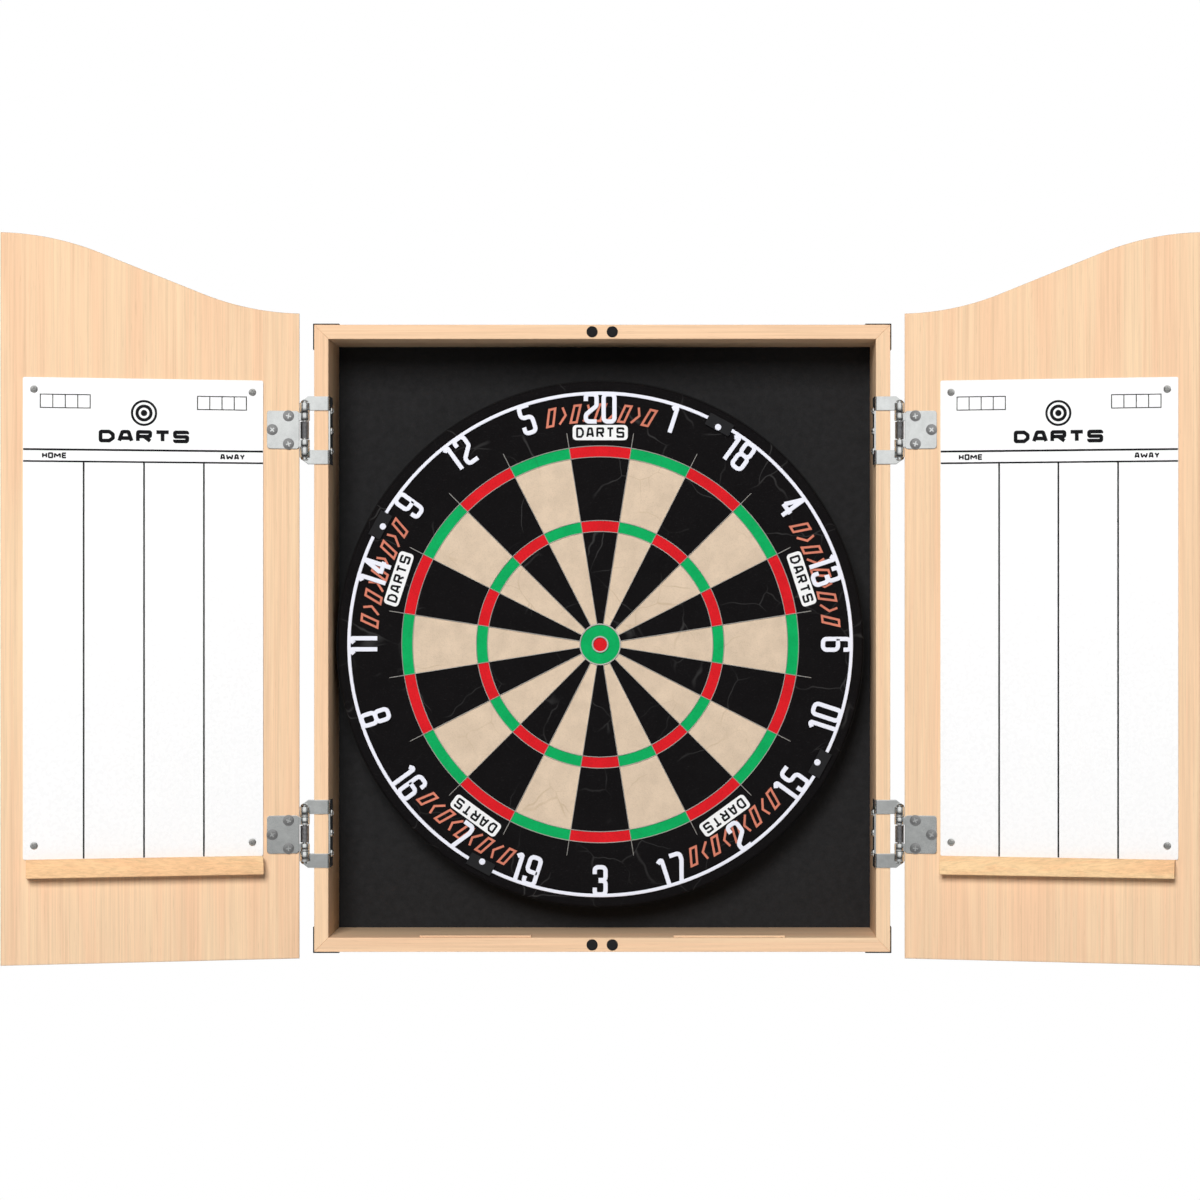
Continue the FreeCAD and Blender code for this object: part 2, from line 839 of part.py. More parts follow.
def make_door(side, side_x):
    hinge_screws, sheet_screws = make_door_screws(side, side_x)
    body = doc.addObject("PartDesign::Body", f"{side}_door_blank")
    sketch = new_sketch(body, "XZ_Plane")
    draw_door(sketch, side_x)
    pad(body, sketch, size("door_thickness"))
    place(body, (0, inner_face + size("door_thickness"), 0))
    panel = cut(f"{side}_door_panel", body, hinge_screws, sheet_screws)

    low = (from_edge("sheet_start", side_x), sheet_face, size("sheet_bottom"))
    high = (from_edge("sheet_end", side_x), inner_face, size("sheet_top"))
    scoreboard = cut(f"{side}_scoreboard", box(f"{side}_scoreboard_blank", low, high), sheet_screws)

    ledge = make_ledge(side, side_x)
    pieces = {
        f"{side}_door_panel": panel,
        f"{side}_scoreboard": scoreboard,
        f"{side}_scoreboard_screws": sheet_screws,
        f"{side}_pen_ledge": ledge,
        f"{side}_hinge_door_screws": hinge_screws,
    }
    for level, height in LEVELS.items():
        name = f"hinge_door_leaf_{side}_{level}"
        pieces[name] = make_door_leaf(name, side_x, height, hinge_screws)
    hung = {}
    for name, piece in pieces.items():
        copy = doc.addObject("Part::Compound", f"{name}_hung")
        copy.Links = [piece]
        hung[name] = hang_door_piece(copy, side_x)
    nodes.update(hung)


def make_ledge(side, side_x):
    """A strip below the scoreboard whose upper front edge is bevelled to hold a pen."""
    top = size("sheet_bottom")
    bottom = top - size("ledge_rise")
    reach = inner_face - size("ledge_reach")
    section = [
        (inner_face, bottom),
        (reach, bottom),
        (reach, top - size("ledge_bevel")),
        (reach + size("ledge_bevel_back"), top),
        (inner_face, top),
    ]
    length = size("ledge_end") - size("ledge_start")
    middle = side_x * (size("door_edge") + size("ledge_start") + length / 2)
    return prism(f"{side}_pen_ledge", "YZ_Plane", section, length, (middle, 0, 0), both_ways=True)


# ---- the dartboard --------------------------------------------------------------------------

board_x = size("board_x")
board_z = size("board_z")
board_back = size("board_back")
sisal_back = board_back - size("backing_thickness")
board_face = sisal_back - size("sisal_thickness")


def on_board(y):
    return board_x, y, board_z


def make_centre_screw():
    """The hanging screw: its head sits behind the hanger bracket and its shank bites the board."""
    head_start = panel_y - size("hanger_front") + size("hanger_sheet") + size("centre_head_gap")
    shank_end = size("centre_screw_bite")
    head = cylinder(
        "centre_screw_head",
        on_board(head_start + size("centre_head_thickness")),
        "-Y",
        size("centre_head_radius"),
        size("centre_head_thickness"),
    )
    shank = cylinder(
        "centre_screw_shank",
        on_board(head_start + size("centre_head_thickness") / 2),
        "-Y",
        size("centre_screw_radius"),
        head_start + size("centre_head_thickness") / 2 - board_back + shank_end,
    )
    nodes["centre_screw"] = fuse("centre_screw", [head, shank])


def make_dartboard():
    radius = size("board_radius")
    band = size("band_sheet")
    band_outer = disc("rim_band_outer", radius, size("band_width"), on_board(board_back))
    margin = size("cut_margin")
    band_hole = disc(
        "rim_band_hole",
        radius - band,
        size("band_width") + margin * 2,
        on_board(board_back + margin),
    )
    nodes["rim_band"] = cut("rim_band", band_outer, band_hole)

    backing = disc("backing_blank", radius - band, size("backing_thickness"), on_board(board_back))
    nodes["backing_board"] = cut("backing_board", backing, nodes["centre_screw"])
    sisal = disc(
        "sisal_blank", radius - band, size("sisal_thickness"), on_board(sisal_back), size("sisal_edge")
    )
    nodes["sisal_disc"] = cut("sisal_disc", sisal, nodes["centre_screw"], nodes["number_ring_clips"])


def bull_collar(name, radius, wire, rise):
    """A ring on the board's face, as wide as its wire, with the given radius at its middle."""
    outer = size(radius) + size(wire) / 2
    inner = size(radius) - size(wire) / 2
    plate = disc(f"{name}_plate", outer, size(rise), on_board(board_face))
    margin = size("cut_margin")
    hole = disc(f"{name}_hole", inner, size(rise) + margin * 2, on_board(board_face + margin))
    return cut(name, plate, hole)


def make_wire_spider():
    """Thin upright blades: a circle on each scoring line and twenty spokes between the numbers."""
    body = doc.addObject("PartDesign::Body", "wire_spider")
    wire = size("wire")
    for number, alias in enumerate(("double_outer", "double_inner", "treble_outer", "treble_inner")):
        if number == 1:
            add_spokes(body, wire)
        sketch = new_sketch(body, "XZ_Plane")
        draw_circle(sketch, size(alias) + wire / 2)
        draw_circle(sketch, size(alias) - wire / 2)
        pad(body, sketch, size("wire_rise"))
    body.Placement.Rotation = FreeCAD.Rotation(FreeCAD.Vector(0, 1, 0), 360 / len(NUMBERS) / 2)
    place(body, on_board(board_face))
    nodes["wire_spider"] = body
    nodes["bull_ring"] = bull_collar("bull_ring", "bull_outer", "bull_wire", "bull_rise")
    nodes["inner_bull_ring"] = bull_collar(
        "inner_bull_ring", "bull_inner", "inner_bull_wire", "inner_bull_rise"
    )


def add_spokes(body, wire):
    sketch = new_sketch(body, "XZ_Plane")
    start = size("bull_outer") + size("bull_wire") / 2
    draw_polygon(
        sketch,
        [
            (-wire / 2, start),
            (wire / 2, start),
            (wire / 2, size("radial_end")),
            (-wire / 2, size("radial_end")),
        ],
    )
    spoke = pad(body, sketch, size("wire_rise"))
    pattern = body.newObject("PartDesign::PolarPattern", "spokes")
    pattern.Originals = [spoke]
    upright = next(part for part in body.Origin.OriginFeatures if part.Role == "Y_Axis")
    pattern.Axis = (upright, [""])
    pattern.Angle = 360
    pattern.Occurrences = len(NUMBERS)
    body.Tip = pattern


def number_strokes(text, turned_in):
    """The strokes of one number as boxes about (0, 0), seen from the front, top towards +Z.

    They stand on the ring when the number is upright at the top of the board; `turned_in` turns
    the number head down.
    """
    tall = DIMENSIONS["digit_height"]
    wide = DIMENSIONS["digit_width"]
    line = DIMENSIONS["digit_stroke"]
    space = DIMENSIONS["digit_space"]
    deep = DIMENSIONS["number_sheet"]
    half = (tall + line) / 2
    spans = {
        "a": (0, tall - line, wide, line),
        "d": (0, 0, wide, line),
        "g": (0, (tall - line) / 2, wide, line),
        "b": (wide - line, half - line, line, half),
        "c": (wide - line, 0, line, half),
        "e": (0, 0, line, half),
        "f": (0, half - line, line, half),
    }
    total = len(text) * wide + (len(text) - 1) * space
    boxes = []
    for place_number, digit in enumerate(text):
        left = place_number * (wide + space) - total / 2
        for stroke in STROKES[digit]:
            x, z, width, height = spans[stroke]
            solid = Part.makeBox(width, deep, height, FreeCAD.Vector(left + x, 0, z - tall / 2))
            boxes.append(solid)
    if turned_in:
        for solid in boxes:
            solid.rotate(FreeCAD.Vector(0, 0, 0), FreeCAD.Vector(0, 1, 0), 180)
    return boxes


def make_number_ring():
    """A wire ring round the board with the twenty numbers hanging inside it, all one piece."""
    outer = DIMENSIONS["number_radius"]
    line = DIMENSIONS["number_line"]
    deep = DIMENSIONS["number_sheet"]
    toward_viewer = FreeCAD.Vector(0, 1, 0)
    centre = FreeCAD.Vector(0, 0, 0)
    plate = Part.makeCylinder(outer, deep, centre, toward_viewer)
    hole = Part.makeCylinder(outer - line, deep, centre, toward_viewer)
    reach = outer - line / 2 - DIMENSIONS["digit_height"] / 2
    strokes = []
    for number, value in enumerate(NUMBERS):
        for solid in number_strokes(str(value), value in UPSIDE_IN):
            solid.translate(FreeCAD.Vector(0, 0, reach))
            solid.rotate(centre, toward_viewer, 360 / len(NUMBERS) * number)
            strokes.append(solid)
    feature = doc.addObject("Part::Feature", "number_ring_blank")
    feature.Shape = plate.cut(hole).multiFuse(strokes).removeSplitter()
    place(feature, on_board(board_face - size("number_gap") - size("number_sheet")))
    nodes["number_ring"] = feature


def make_clips():
    """Four flat clips that hold the number ring down, each with a pin driven into the sisal."""
    half_length = size("clip_length") / 2
    half_width_clip = size("clip_width") / 2
    radius = size("clip_radius")
    gap = size("number_gap") + size("number_sheet") + size("clip_gap")
    clips = []
    pins = []
    for number in range(4):
        turn = FreeCAD.Rotation(FreeCAD.Vector(0, 1, 0), DIMENSIONS["clip_turn"] + 90 * number)
        plate = box(
            f"clip_plate_{number}",
            (-half_length, -size("clip_rise"), radius - half_width_clip),
            (half_length, -gap, radius + half_width_clip),
        )
        leg = box(
            f"clip_leg_{number}",
            (-half_length, -size("clip_rise"), radius + half_width_clip - size("clip_wall")),
            (half_length, size("clip_bite"), radius + half_width_clip),
        )
        clip = fuse(f"clip_{number}", [plate, leg])
        pin = cylinder(
            f"clip_pin_{number}",
            (0, -size("clip_rise"), radius - size("clip_pin_inset")),
            "-Y",
            size("clip_pin_radius"),
            size("clip_pin_rise"),
        )
        for bundle, solid in ((clips, clip), (pins, pin)):
            turned = group(f"{solid.Name}_turned", [solid])
            turned.Placement.Rotation = turn
            place(turned, on_board(board_face))
            bundle.append(turned)
    nodes["number_ring_clips"] = group("number_ring_clips", clips)
    nodes["clip_pins"] = group("clip_pins", pins)


def make_rear_pads():
    """Three pads on the board's back that stop just short of the back panel."""
    pads = []
    thickness = panel_y - board_back - size("pad_gap")
    for number in range(3):
        angle = math.radians(90 + 120 * number)
        x = board_x + size("pad_circle") * round(math.cos(angle), 6)
        z = board_z + size("pad_circle") * round(math.sin(angle), 6)
        pads.append(cylinder(f"pad_{number}", (x, board_back, z), "+Y", size("pad_radius"), thickness))
    nodes["rear_pads"] = group("rear_pads", pads)


# ---- the hanger bracket ---------------------------------------------------------------------

def make_hanger_screws():
    screws = []
    reach_x = size("hanger_width") / 2 + size("hanger_foot") / 2
    for number, (side_x, way) in enumerate(((-1, -1), (-1, 1), (1, -1), (1, 1))):
        z = board_z + size("hanger_screw_lift") + way * size("hanger_screw_apart")
        at = (board_x + side_x * reach_x, panel_y - size("hanger_sheet"), z)
        screws.append(hanger_screw(f"hanger_screw_{number}", at))
    nodes["hanger_screws"] = group("hanger_screws", screws)


def hanger_screw(name, at):
    """A short pan-head screw that stays inside the back panel's thickness."""
    head = cylinder(f"{name}_head", at, "-Y", size("pan_head"), size("pan_rise"))
    length = size("hanger_sheet") + size("hanger_screw_bite")
    shank = cylinder(f"{name}_shank", at, "+Y", size("pan_shank"), length)
    return fuse(name, [head, shank])


def make_hanger():
    """A top-hat bracket whose front plate has a slot, open at the top, for the centre screw."""
    gauge = size("hanger_sheet")
    half = size("hanger_width") / 2
    front = size("hanger_front")
    low = -size("hanger_drop")
    foot = size("hanger_foot")
    section = [
        (-half - foot, 0),
        (-half, 0),
        (-half, -front + gauge),
        (half, -front + gauge),
        (half, 0),
        (half + foot, 0),
        (half + foot, -gauge),
        (half + gauge, -gauge),
        (half + gauge, -front),
        (-half - gauge, -front),
        (-half - gauge, -gauge),
        (-half - foot, -gauge),
    ]
    hat = prism(
        "hanger_hat",
        "XY_Plane",
        section,
        size("hanger_rise") + size("hanger_drop"),
        (board_x, panel_y, board_z + low),
    )
    play = size("centre_screw_radius") + size("slot_play")
    near_y = panel_y - size("slot_setback")
    top_z = board_z + size("hanger_rise") + size("cut_margin")
    slot_end = cylinder("hanger_slot_end", (board_x, near_y, board_z), "-Y", play, front)
    slot = box(
        "hanger_slot",
        (board_x - play, near_y, board_z),
        (board_x + play, near_y - front, top_z),
    )
    nodes["board_hanger"] = cut(
        "board_hanger", hat, fuse("hanger_slot_all", [slot_end, slot]), nodes["hanger_screws"]
    )


# ---- build, check and write -----------------------------------------------------------------

make_corner_fixings()
make_corner_plates()
make_hinge_frame_screws()
make_back_panel_screws()
make_hanger_screws()
make_frame_boards()
make_back_panel()
make_stop_strips()
make_bumpers()
make_hinge_pins()
make_hinge_springs()
make_hinge_frame_leaves()
for door_side, door_sign in SIDES.items():
    make_door(door_side, door_sign)
make_centre_screw()
make_clips()
make_dartboard()
make_wire_spider()
make_number_ring()
make_rear_pads()
make_hanger()
doc.recompute()

for name, thing in nodes.items():
    thing.Label = name

failed = [thing.Name for thing in doc.Objects if {"Invalid", "Error"} & set(thing.State)]
if failed:
    raise RuntimeError(f"objects that did not build: {failed}")
for name, thing in nodes.items():
    if thing.Shape.isNull() or not thing.Shape.isValid() or not thing.Shape.Solids:
        raise RuntimeError(f"{name} has no valid solid")

os.makedirs("parts", exist_ok=True)
for name, thing in nodes.items():
    thing.Shape.exportStep(f"parts/{name}.step")
    print(f"{name}: {len(thing.Shape.Solids)} solids, {thing.Shape.Volume:.0f} mm3")
print(len(nodes), "nodes")
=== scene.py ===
import json

import bmesh
import bpy
import numpy as np
from bpy.props import FloatProperty, FloatVectorProperty, IntProperty, PointerProperty
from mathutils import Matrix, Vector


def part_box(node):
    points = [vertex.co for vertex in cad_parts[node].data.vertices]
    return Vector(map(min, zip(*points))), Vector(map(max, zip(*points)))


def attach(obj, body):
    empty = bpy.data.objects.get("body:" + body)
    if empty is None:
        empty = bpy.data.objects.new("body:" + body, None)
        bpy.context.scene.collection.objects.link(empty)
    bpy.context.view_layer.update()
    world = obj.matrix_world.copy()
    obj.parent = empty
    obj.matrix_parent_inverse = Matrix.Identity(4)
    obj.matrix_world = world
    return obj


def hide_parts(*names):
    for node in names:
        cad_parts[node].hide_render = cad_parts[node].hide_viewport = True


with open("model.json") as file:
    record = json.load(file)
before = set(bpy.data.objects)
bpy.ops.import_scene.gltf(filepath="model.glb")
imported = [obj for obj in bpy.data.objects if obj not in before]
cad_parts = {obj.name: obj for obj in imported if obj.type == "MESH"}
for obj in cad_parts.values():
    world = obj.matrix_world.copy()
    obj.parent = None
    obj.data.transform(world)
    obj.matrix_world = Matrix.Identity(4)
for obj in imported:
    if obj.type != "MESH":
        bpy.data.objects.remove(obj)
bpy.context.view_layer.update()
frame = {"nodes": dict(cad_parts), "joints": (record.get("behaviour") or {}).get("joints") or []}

bl_info = {
    "name": "Dartboard cabinet",
    "version": (1, 0, 0),
    "blender": (4, 5, 0),
    "location": "View3D > Sidebar > Cabinet",
    "description": "Builds the visible pieces of a wall cabinet for a bristle dartboard",
    "category": "Add Mesh",
}

MM = 0.001
SIDES = {"left": -1, "right": 1}
LEVELS = ("upper", "lower")
NUMBERS = (20, 1, 18, 4, 13, 6, 10, 15, 2, 17, 3, 19, 7, 16, 8, 11, 14, 9, 12, 5)
HEAD_INWARD = (10, 15, 2, 17, 3, 19, 7, 16, 8)
SECTOR = 2 * np.pi / len(NUMBERS)
SHARP = np.radians(38)

# Centre lines of the strokes of a digit or capital, with 1 as half its width and half its height.
# A path that ends where it starts is a closed loop.
GLYPHS = {
    "0": [[(-1, -1), (1, -1), (1, 1), (-1, 1), (-1, -1)]],
    "1": [[(-0.75, 0.72), (0.1, 1), (0.1, -1)]],
    "2": [[(-1, 0.5), (-1, 1), (1, 1), (1, 0.15), (-1, -0.5), (-1, -1), (1, -1)]],
    "3": [
        [(-1, 0.5), (-1, 1), (1, 1), (1, 0.05), (-0.3, 0.05)],
        [(-0.3, 0), (1, 0), (1, -1), (-1, -1), (-1, -0.5)],
    ],
    "4": [
        [(0.5, 1), (0.5, -1)],
        [(0.42, 0.92), (-0.92, -0.36)],
        [(-1.12, -0.42), (1.12, -0.42)],
    ],
    "5": [[(1, 1), (-0.9, 1), (-1, 0.15), (1, 0.15), (1, -1), (-1, -1), (-1, -0.5)]],
    "6": [[(1, 0.5), (1, 1), (-1, 1), (-1, -1), (1, -1), (1, 0.1), (-1, 0.1)]],
    "7": [[(-1, 1), (1, 1), (1, 0.5), (-0.2, -1)]],
    "8": [
        [(-0.95, 0.04), (0.95, 0.04), (0.95, 1), (-0.95, 1), (-0.95, 0.04)],
        [(-1, -1), (1, -1), (1, 0.04), (-1, 0.04), (-1, -1)],
    ],
    "9": [[(-1, -0.5), (-1, -1), (1, -1), (1, 1), (-1, 1), (-1, -0.1), (1, -0.1)]],
    "A": [[(-1, -1), (-0.5, 1), (0.5, 1), (1, -1)], [(-0.8, -0.4), (0.8, -0.4)]],
    "D": [[(-1, -1), (0.4, -1), (1, -0.4), (1, 0.4), (0.4, 1), (-1, 1), (-1, -1)]],
    "E": [[(1, 1), (-1, 1), (-1, -1), (1, -1)], [(-1, 0), (0.85, 0)]],
    "H": [[(-1, 1), (-1, -1)], [(1, 1), (1, -1)], [(-1, 0), (1, 0)]],
    "M": [[(-1, -1), (-1, 1), (0, -0.3), (1, 1), (1, -1)]],
    "O": [[(-1, -1), (1, -1), (1, 1), (-1, 1), (-1, -1)]],
    "R": [[(-1, -1), (-1, 1), (1, 1), (1, 0), (-1, 0)], [(0, 0), (1, -1)]],
    "S": [[(1, 0.6), (1, 1), (-1, 1), (-1, 0), (1, 0), (1, -1), (-1, -1), (-1, -0.6)]],
    "T": [[(-1, 1), (1, 1)], [(0, 1), (0, -1)]],
    "W": [[(-1, 1), (-0.7, -1), (0, 0.3), (0.7, -1), (1, 1)]],
    "Y": [[(-1, 1), (0, -0.1), (1, 1)], [(0, 0), (0, -1)]],
}
BREADTH = {"1": 0.55, "M": 1.35, "W": 1.45}


def metres(default, name, description):
    return FloatProperty(name=name, description=description, default=default, unit="LENGTH",
                         subtype="DISTANCE", precision=4)


def colour(default, name, description):
    return FloatVectorProperty(name=name, description=description, default=default, size=3,
                               min=0.0, max=1.0, subtype="COLOR")


class CabinetSizes(bpy.types.PropertyGroup):
    board_ease: metres(0.5 * MM, "Board edge", "Radius of the eased edges of the frame boards")
    door_ease: metres(0.9 * MM, "Door edge", "Radius of the eased edges of the doors")
    arch_radius: metres(225 * MM, "Arch radius", "Radius of both arcs in the top of a door")
    foil: metres(0.3 * MM, "Back foil", "Thickness of the grained foil on the back panel")
    ink: metres(0.06 * MM, "Ink", "How far printed marks stand above their surface")
    line: metres(1.4 * MM, "Score line", "Width of the lines on the scoreboards")
    sheet_corner: metres(1.5 * MM, "Sheet corner", "Corner radius of a scoreboard")
    bend: metres(2.2 * MM, "Leaf bend", "Outer radius of the bend in a hinge's frame leaf")
    double_ring: metres(169.2 * MM, "Double ring", "Outer radius of the double ring")
    treble_ring: metres(105.6 * MM, "Treble ring", "Outer radius of the treble ring")
    ring_width: metres(9.5 * MM, "Ring width", "Width of the double and treble rings")
    bull: metres(17.2 * MM, "Outer bull", "Radius of the outer bull")
    inner_bull: metres(6.5 * MM, "Inner bull", "Radius of the inner bull")
    wire: metres(0.8 * MM, "Wire", "Width of the scoring wires")
    digit_tall: metres(27 * MM, "Digit height", "Height of a number on the number ring")
    digit_wide: metres(13 * MM, "Digit width", "Width of one digit")
    digit_stroke: metres(3.8 * MM, "Digit stroke", "Width of a digit's stroke")
    digit_space: metres(2.2 * MM, "Digit space", "Gap between the digits of one number")
    clip_turn: FloatProperty(name="Clip angle", description="Place of the first ring clip",
                             default=28.5, min=0.0, max=90.0)
    round_steps: IntProperty(name="Round steps", description="Steps round a full turn",
                             default=240, min=40, max=480)


class CabinetColours(bpy.types.PropertyGroup):
    beech: colour((0.825, 0.582, 0.376), "Beech", "Lacquered beech of the frame and the doors")
    pine: colour((0.90, 0.61, 0.335), "Pine", "Planed pine of the pen ledges")
    charcoal: colour((0.0165, 0.0165, 0.0172), "Charcoal", "Grained foil of the back panel")
    white: colour((0.86, 0.86, 0.86), "White", "Dry-wipe surface")
    black_sisal: colour((0.0068, 0.0062, 0.0066), "Black sisal", "Dyed fibres of the black beds")
    cream_sisal: colour((0.62, 0.49, 0.365), "Cream sisal", "Natural fibres of the light beds")
    red_sisal: colour((0.62, 0.014, 0.020), "Red sisal", "Dyed fibres of the red rings")
    green_sisal: colour((0.006, 0.36, 0.10), "Green sisal", "Dyed fibres of the green rings")
    ring_white: colour((0.76, 0.77, 0.85), "Ring white", "Coat of the number ring")
    coral: colour((0.62, 0.20, 0.13), "Coral", "Printed border marks")


# ---- pieces and meshes -----------------------------------------------------------------------

class Shells:
    """Gathers vertices and faces of a piece; every face has a paint, the number of its material."""

    def __init__(self):
        self.points = []
        self.faces = []
        self.paints = []
        self.count = 0

    def add(self, points, faces, paint=0):
        points = np.asarray(points, float).reshape(-1, 3)
        faces = [[int(index) + self.count for index in face] for face in faces]
        self.points.append(points)
        self.faces += faces
        self.paints += list(paint) if np.ndim(paint) else [paint] * len(faces)
        self.count += len(points)

    def grid(self, points, wrap_rows=False, wrap_columns=False, paint=0):
        """A sheet of quads over an array of points, joined round where a direction wraps."""
        points = np.asarray(points, float)
        rows, columns = points.shape[:2]
        row = np.arange(rows if wrap_rows else rows - 1)
        column = np.arange(columns if wrap_columns else columns - 1)
        row, column = np.meshgrid(row, column, indexing="ij")
        after_row = (row + 1) % rows
        after_column = (column + 1) % columns
        faces = np.stack([
            row * columns + column,
            row * columns + after_column,
            after_row * columns + after_column,
            after_row * columns + column,
        ], axis=-1).reshape(-1, 4)
        self.add(points, faces, paint)

    def cap(self, points, paint=0):
        """One many-sided face over a closed line of points."""
        self.add(points, [range(len(points))], paint)

    def tube(self, points, paint=0):
        """A sheet that is joined round its columns and closed by a cap at each end."""
        self.grid(points, wrap_columns=True, paint=paint)
        self.cap(points[0], paint)
        self.cap(points[-1], paint)


def finish_piece(name, shells, body, materials, stands_for=()):
    """Welds the shells, turns the faces outwards, smooths all but the sharp edges, and hands over."""
    mesh = bpy.data.meshes.new(name)
    mesh.from_pydata(np.concatenate(shells.points).tolist(), [], shells.faces)
    for material in materials:
        mesh.materials.append(material)
    mesh.polygons.foreach_set("material_index", np.array(shells.paints, np.int32))
    work = bmesh.new()
    work.from_mesh(mesh)
    bmesh.ops.remove_doubles(work, verts=work.verts, dist=1e-6)
    bmesh.ops.dissolve_degenerate(work, edges=work.edges, dist=1e-7)
    bmesh.ops.recalc_face_normals(work, faces=work.faces)
    work.to_mesh(mesh)
    work.free()
    mesh.shade_smooth()
    mesh.set_sharp_from_angle(angle=SHARP)
    piece = bpy.data.objects.new(name, mesh)
    bpy.context.scene.collection.objects.link(piece)
    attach(piece, body)
    if stands_for:
        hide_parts(*stands_for)
    return piece


def slab_piece(name, node, body, material, outline, heights, ease, place, steps=3):
    """A piece that is one slab, and that stands for a CAD node if one is given."""
    shells = Shells()
    slab(shells, outline, *heights, ease, place, steps=steps)
    finish_piece(name, shells, body, finish(material), (node,) if node else ())


def full_turn(steps):
    return np.arange(steps) * (2 * np.pi / steps)


def rectangle(u0, u1, z0, z1):
    return np.array([(u0, z0), (u1, z0), (u1, z1), (u0, z1)])


def unit(vectors):
    length = np.linalg.norm(vectors, axis=-1, keepdims=True)
    return vectors / np.where(length > 1e-12, length, 1.0)


def soft_corners(corners, radius, closed=True, steps=5):
    """Each corner of a flat line becomes an arc that touches both of its sides.

    The arc's centre lies on the corner's bisector at radius / sin(half angle), and it starts
    radius / tan(half angle) from the corner, at most 0.48 of the shorter side.
    """
    corners = np.asarray(corners, float)
    back = np.roll(corners, 1, 0) - corners
    ahead = np.roll(corners, -1, 0) - corners
    back_length = np.linalg.norm(back, axis=1)
    ahead_length = np.linalg.norm(ahead, axis=1)
    back = unit(back)
    ahead = unit(ahead)
    half = np.arccos(np.clip((back * ahead).sum(1), -1, 1)) / 2
    half = np.clip(half, 1e-3, np.pi / 2 - 1e-4)
    reach = np.minimum(radius / np.tan(half), 0.48 * np.minimum(back_length, ahead_length))
    radius = reach * np.tan(half)
    middle = corners + unit(back + ahead) * (radius / np.sin(half))[:, None]
    start = corners + back * reach[:, None] - middle
    end = corners + ahead * reach[:, None] - middle
    first = np.arctan2(start[:, 1], start[:, 0])
    turn = np.arctan2(end[:, 1], end[:, 0]) - first
    turn = (turn + np.pi) % (2 * np.pi) - np.pi
    angle = first[:, None] + turn[:, None] * np.linspace(0, 1, steps + 1)
    arcs = middle[:, None] + radius[:, None, None] * np.stack([np.cos(angle), np.sin(angle)], -1)
    if closed:
        return arcs.reshape(-1, 2)
    return np.concatenate([corners[:1], arcs[1:-1].reshape(-1, 2), corners[-1:]])


def bisectors(line, closed=True):
    """At each point of a flat line, the sideways step that keeps an offset copy parallel to it."""
    back = line - np.roll(line, 1, 0)
    ahead = np.roll(line, -1, 0) - line
    if not closed:
        back[0] = ahead[0]
        ahead[-1] = back[-1]
    back = unit(back)
    ahead = unit(ahead)
    still = np.linalg.norm(back, axis=1) < 0.5
    back[still] = ahead[still]
    still = np.linalg.norm(ahead, axis=1) < 0.5
    ahead[still] = back[still]
    left_back = np.stack([-back[:, 1], back[:, 0]], -1)
    left_ahead = np.stack([-ahead[:, 1], ahead[:, 0]], -1)
    across = left_back + left_ahead
    return across / np.maximum((left_back * across).sum(1), 0.25)[:, None]


def distinct(line, closed=True):
    """The line without points that repeat the one before."""
    apart = np.linalg.norm(line - np.roll(line, 1, 0), axis=1) > 1e-7
    if not closed:
        apart[0] = True
    return line[apart]


def slab(shells, outline, low, high, ease, place, steps=3):
    """A plate with eased edges, standing on a flat outline.

    The outline is carried from low to high. Over the first and last `ease` it is drawn in along
    its bisectors by ease * (1 - sin a) while the height is ease * (1 - cos a), for a from 0 to a
    quarter turn. A level ring 1.7 * ease inside the outline keeps the broad faces flat to the
    light. `place` takes (across, along, height) to the frame.
    """
    outline = distinct(np.asarray(outline, float))
    area = np.roll(outline, -1, 0)
    area = (outline[:, 0] * area[:, 1] - outline[:, 1] * area[:, 0]).sum()
    if area < 0:
        outline = outline[::-1]
    inward = bisectors(outline)
    angle = np.linspace(0, np.pi / 2, steps + 1)
    drawn = ease * (1 - np.sin(angle))
    rise = ease * (1 - np.cos(angle))
    if steps > 1:
        drawn = np.concatenate([[1.7 * ease], drawn])
        rise = np.concatenate([[0.0], rise])
    drawn = np.concatenate([drawn, drawn[::-1]])
    height = np.concatenate([low + rise, high - rise[::-1]])
    flat = outline[None] + inward[None] * drawn[:, None, None]
    level = np.broadcast_to(height[:, None, None], flat.shape[:2] + (1,))
    points = place(np.concatenate([flat, level], -1))
    shells.tube(points)


def lathe(shells, profile, place, steps=48, closed=False):
    """A turned shape: the profile (radius, height) swept once round the height axis."""
    profile = np.asarray(profile, float)
    angle = full_turn(steps)
    radius = profile[:, 0][:, None]
    points = np.stack([
        radius * np.cos(angle),
        radius * np.sin(angle),
        np.broadcast_to(profile[:, 1][:, None], (len(profile), steps)),
    ], -1)
    shells.grid(place(points), wrap_rows=closed, wrap_columns=True)


def ribbon(shells, line, section, place, closed=False, paint=0):
    """A strip of constant section carried along a flat line.

    Each point of the section is (sideways, height); the sideways part follows the bisectors, so
    the strip keeps its width round corners. A section may also be given for each point of the line.
    """
    line = np.asarray(line, float)
    section = np.asarray(section, float)
    section = np.broadcast_to(section, (len(line),) + section.shape[-2:])
    across = bisectors(line, closed)
    flat = line[:, None] + across[:, None] * section[..., :1]
    level = section[..., 1:]
    points = place(np.concatenate([flat, level], -1))
    if closed:
        shells.grid(points, wrap_rows=True, wrap_columns=True, paint=paint)
    else:
        shells.tube(points, paint)


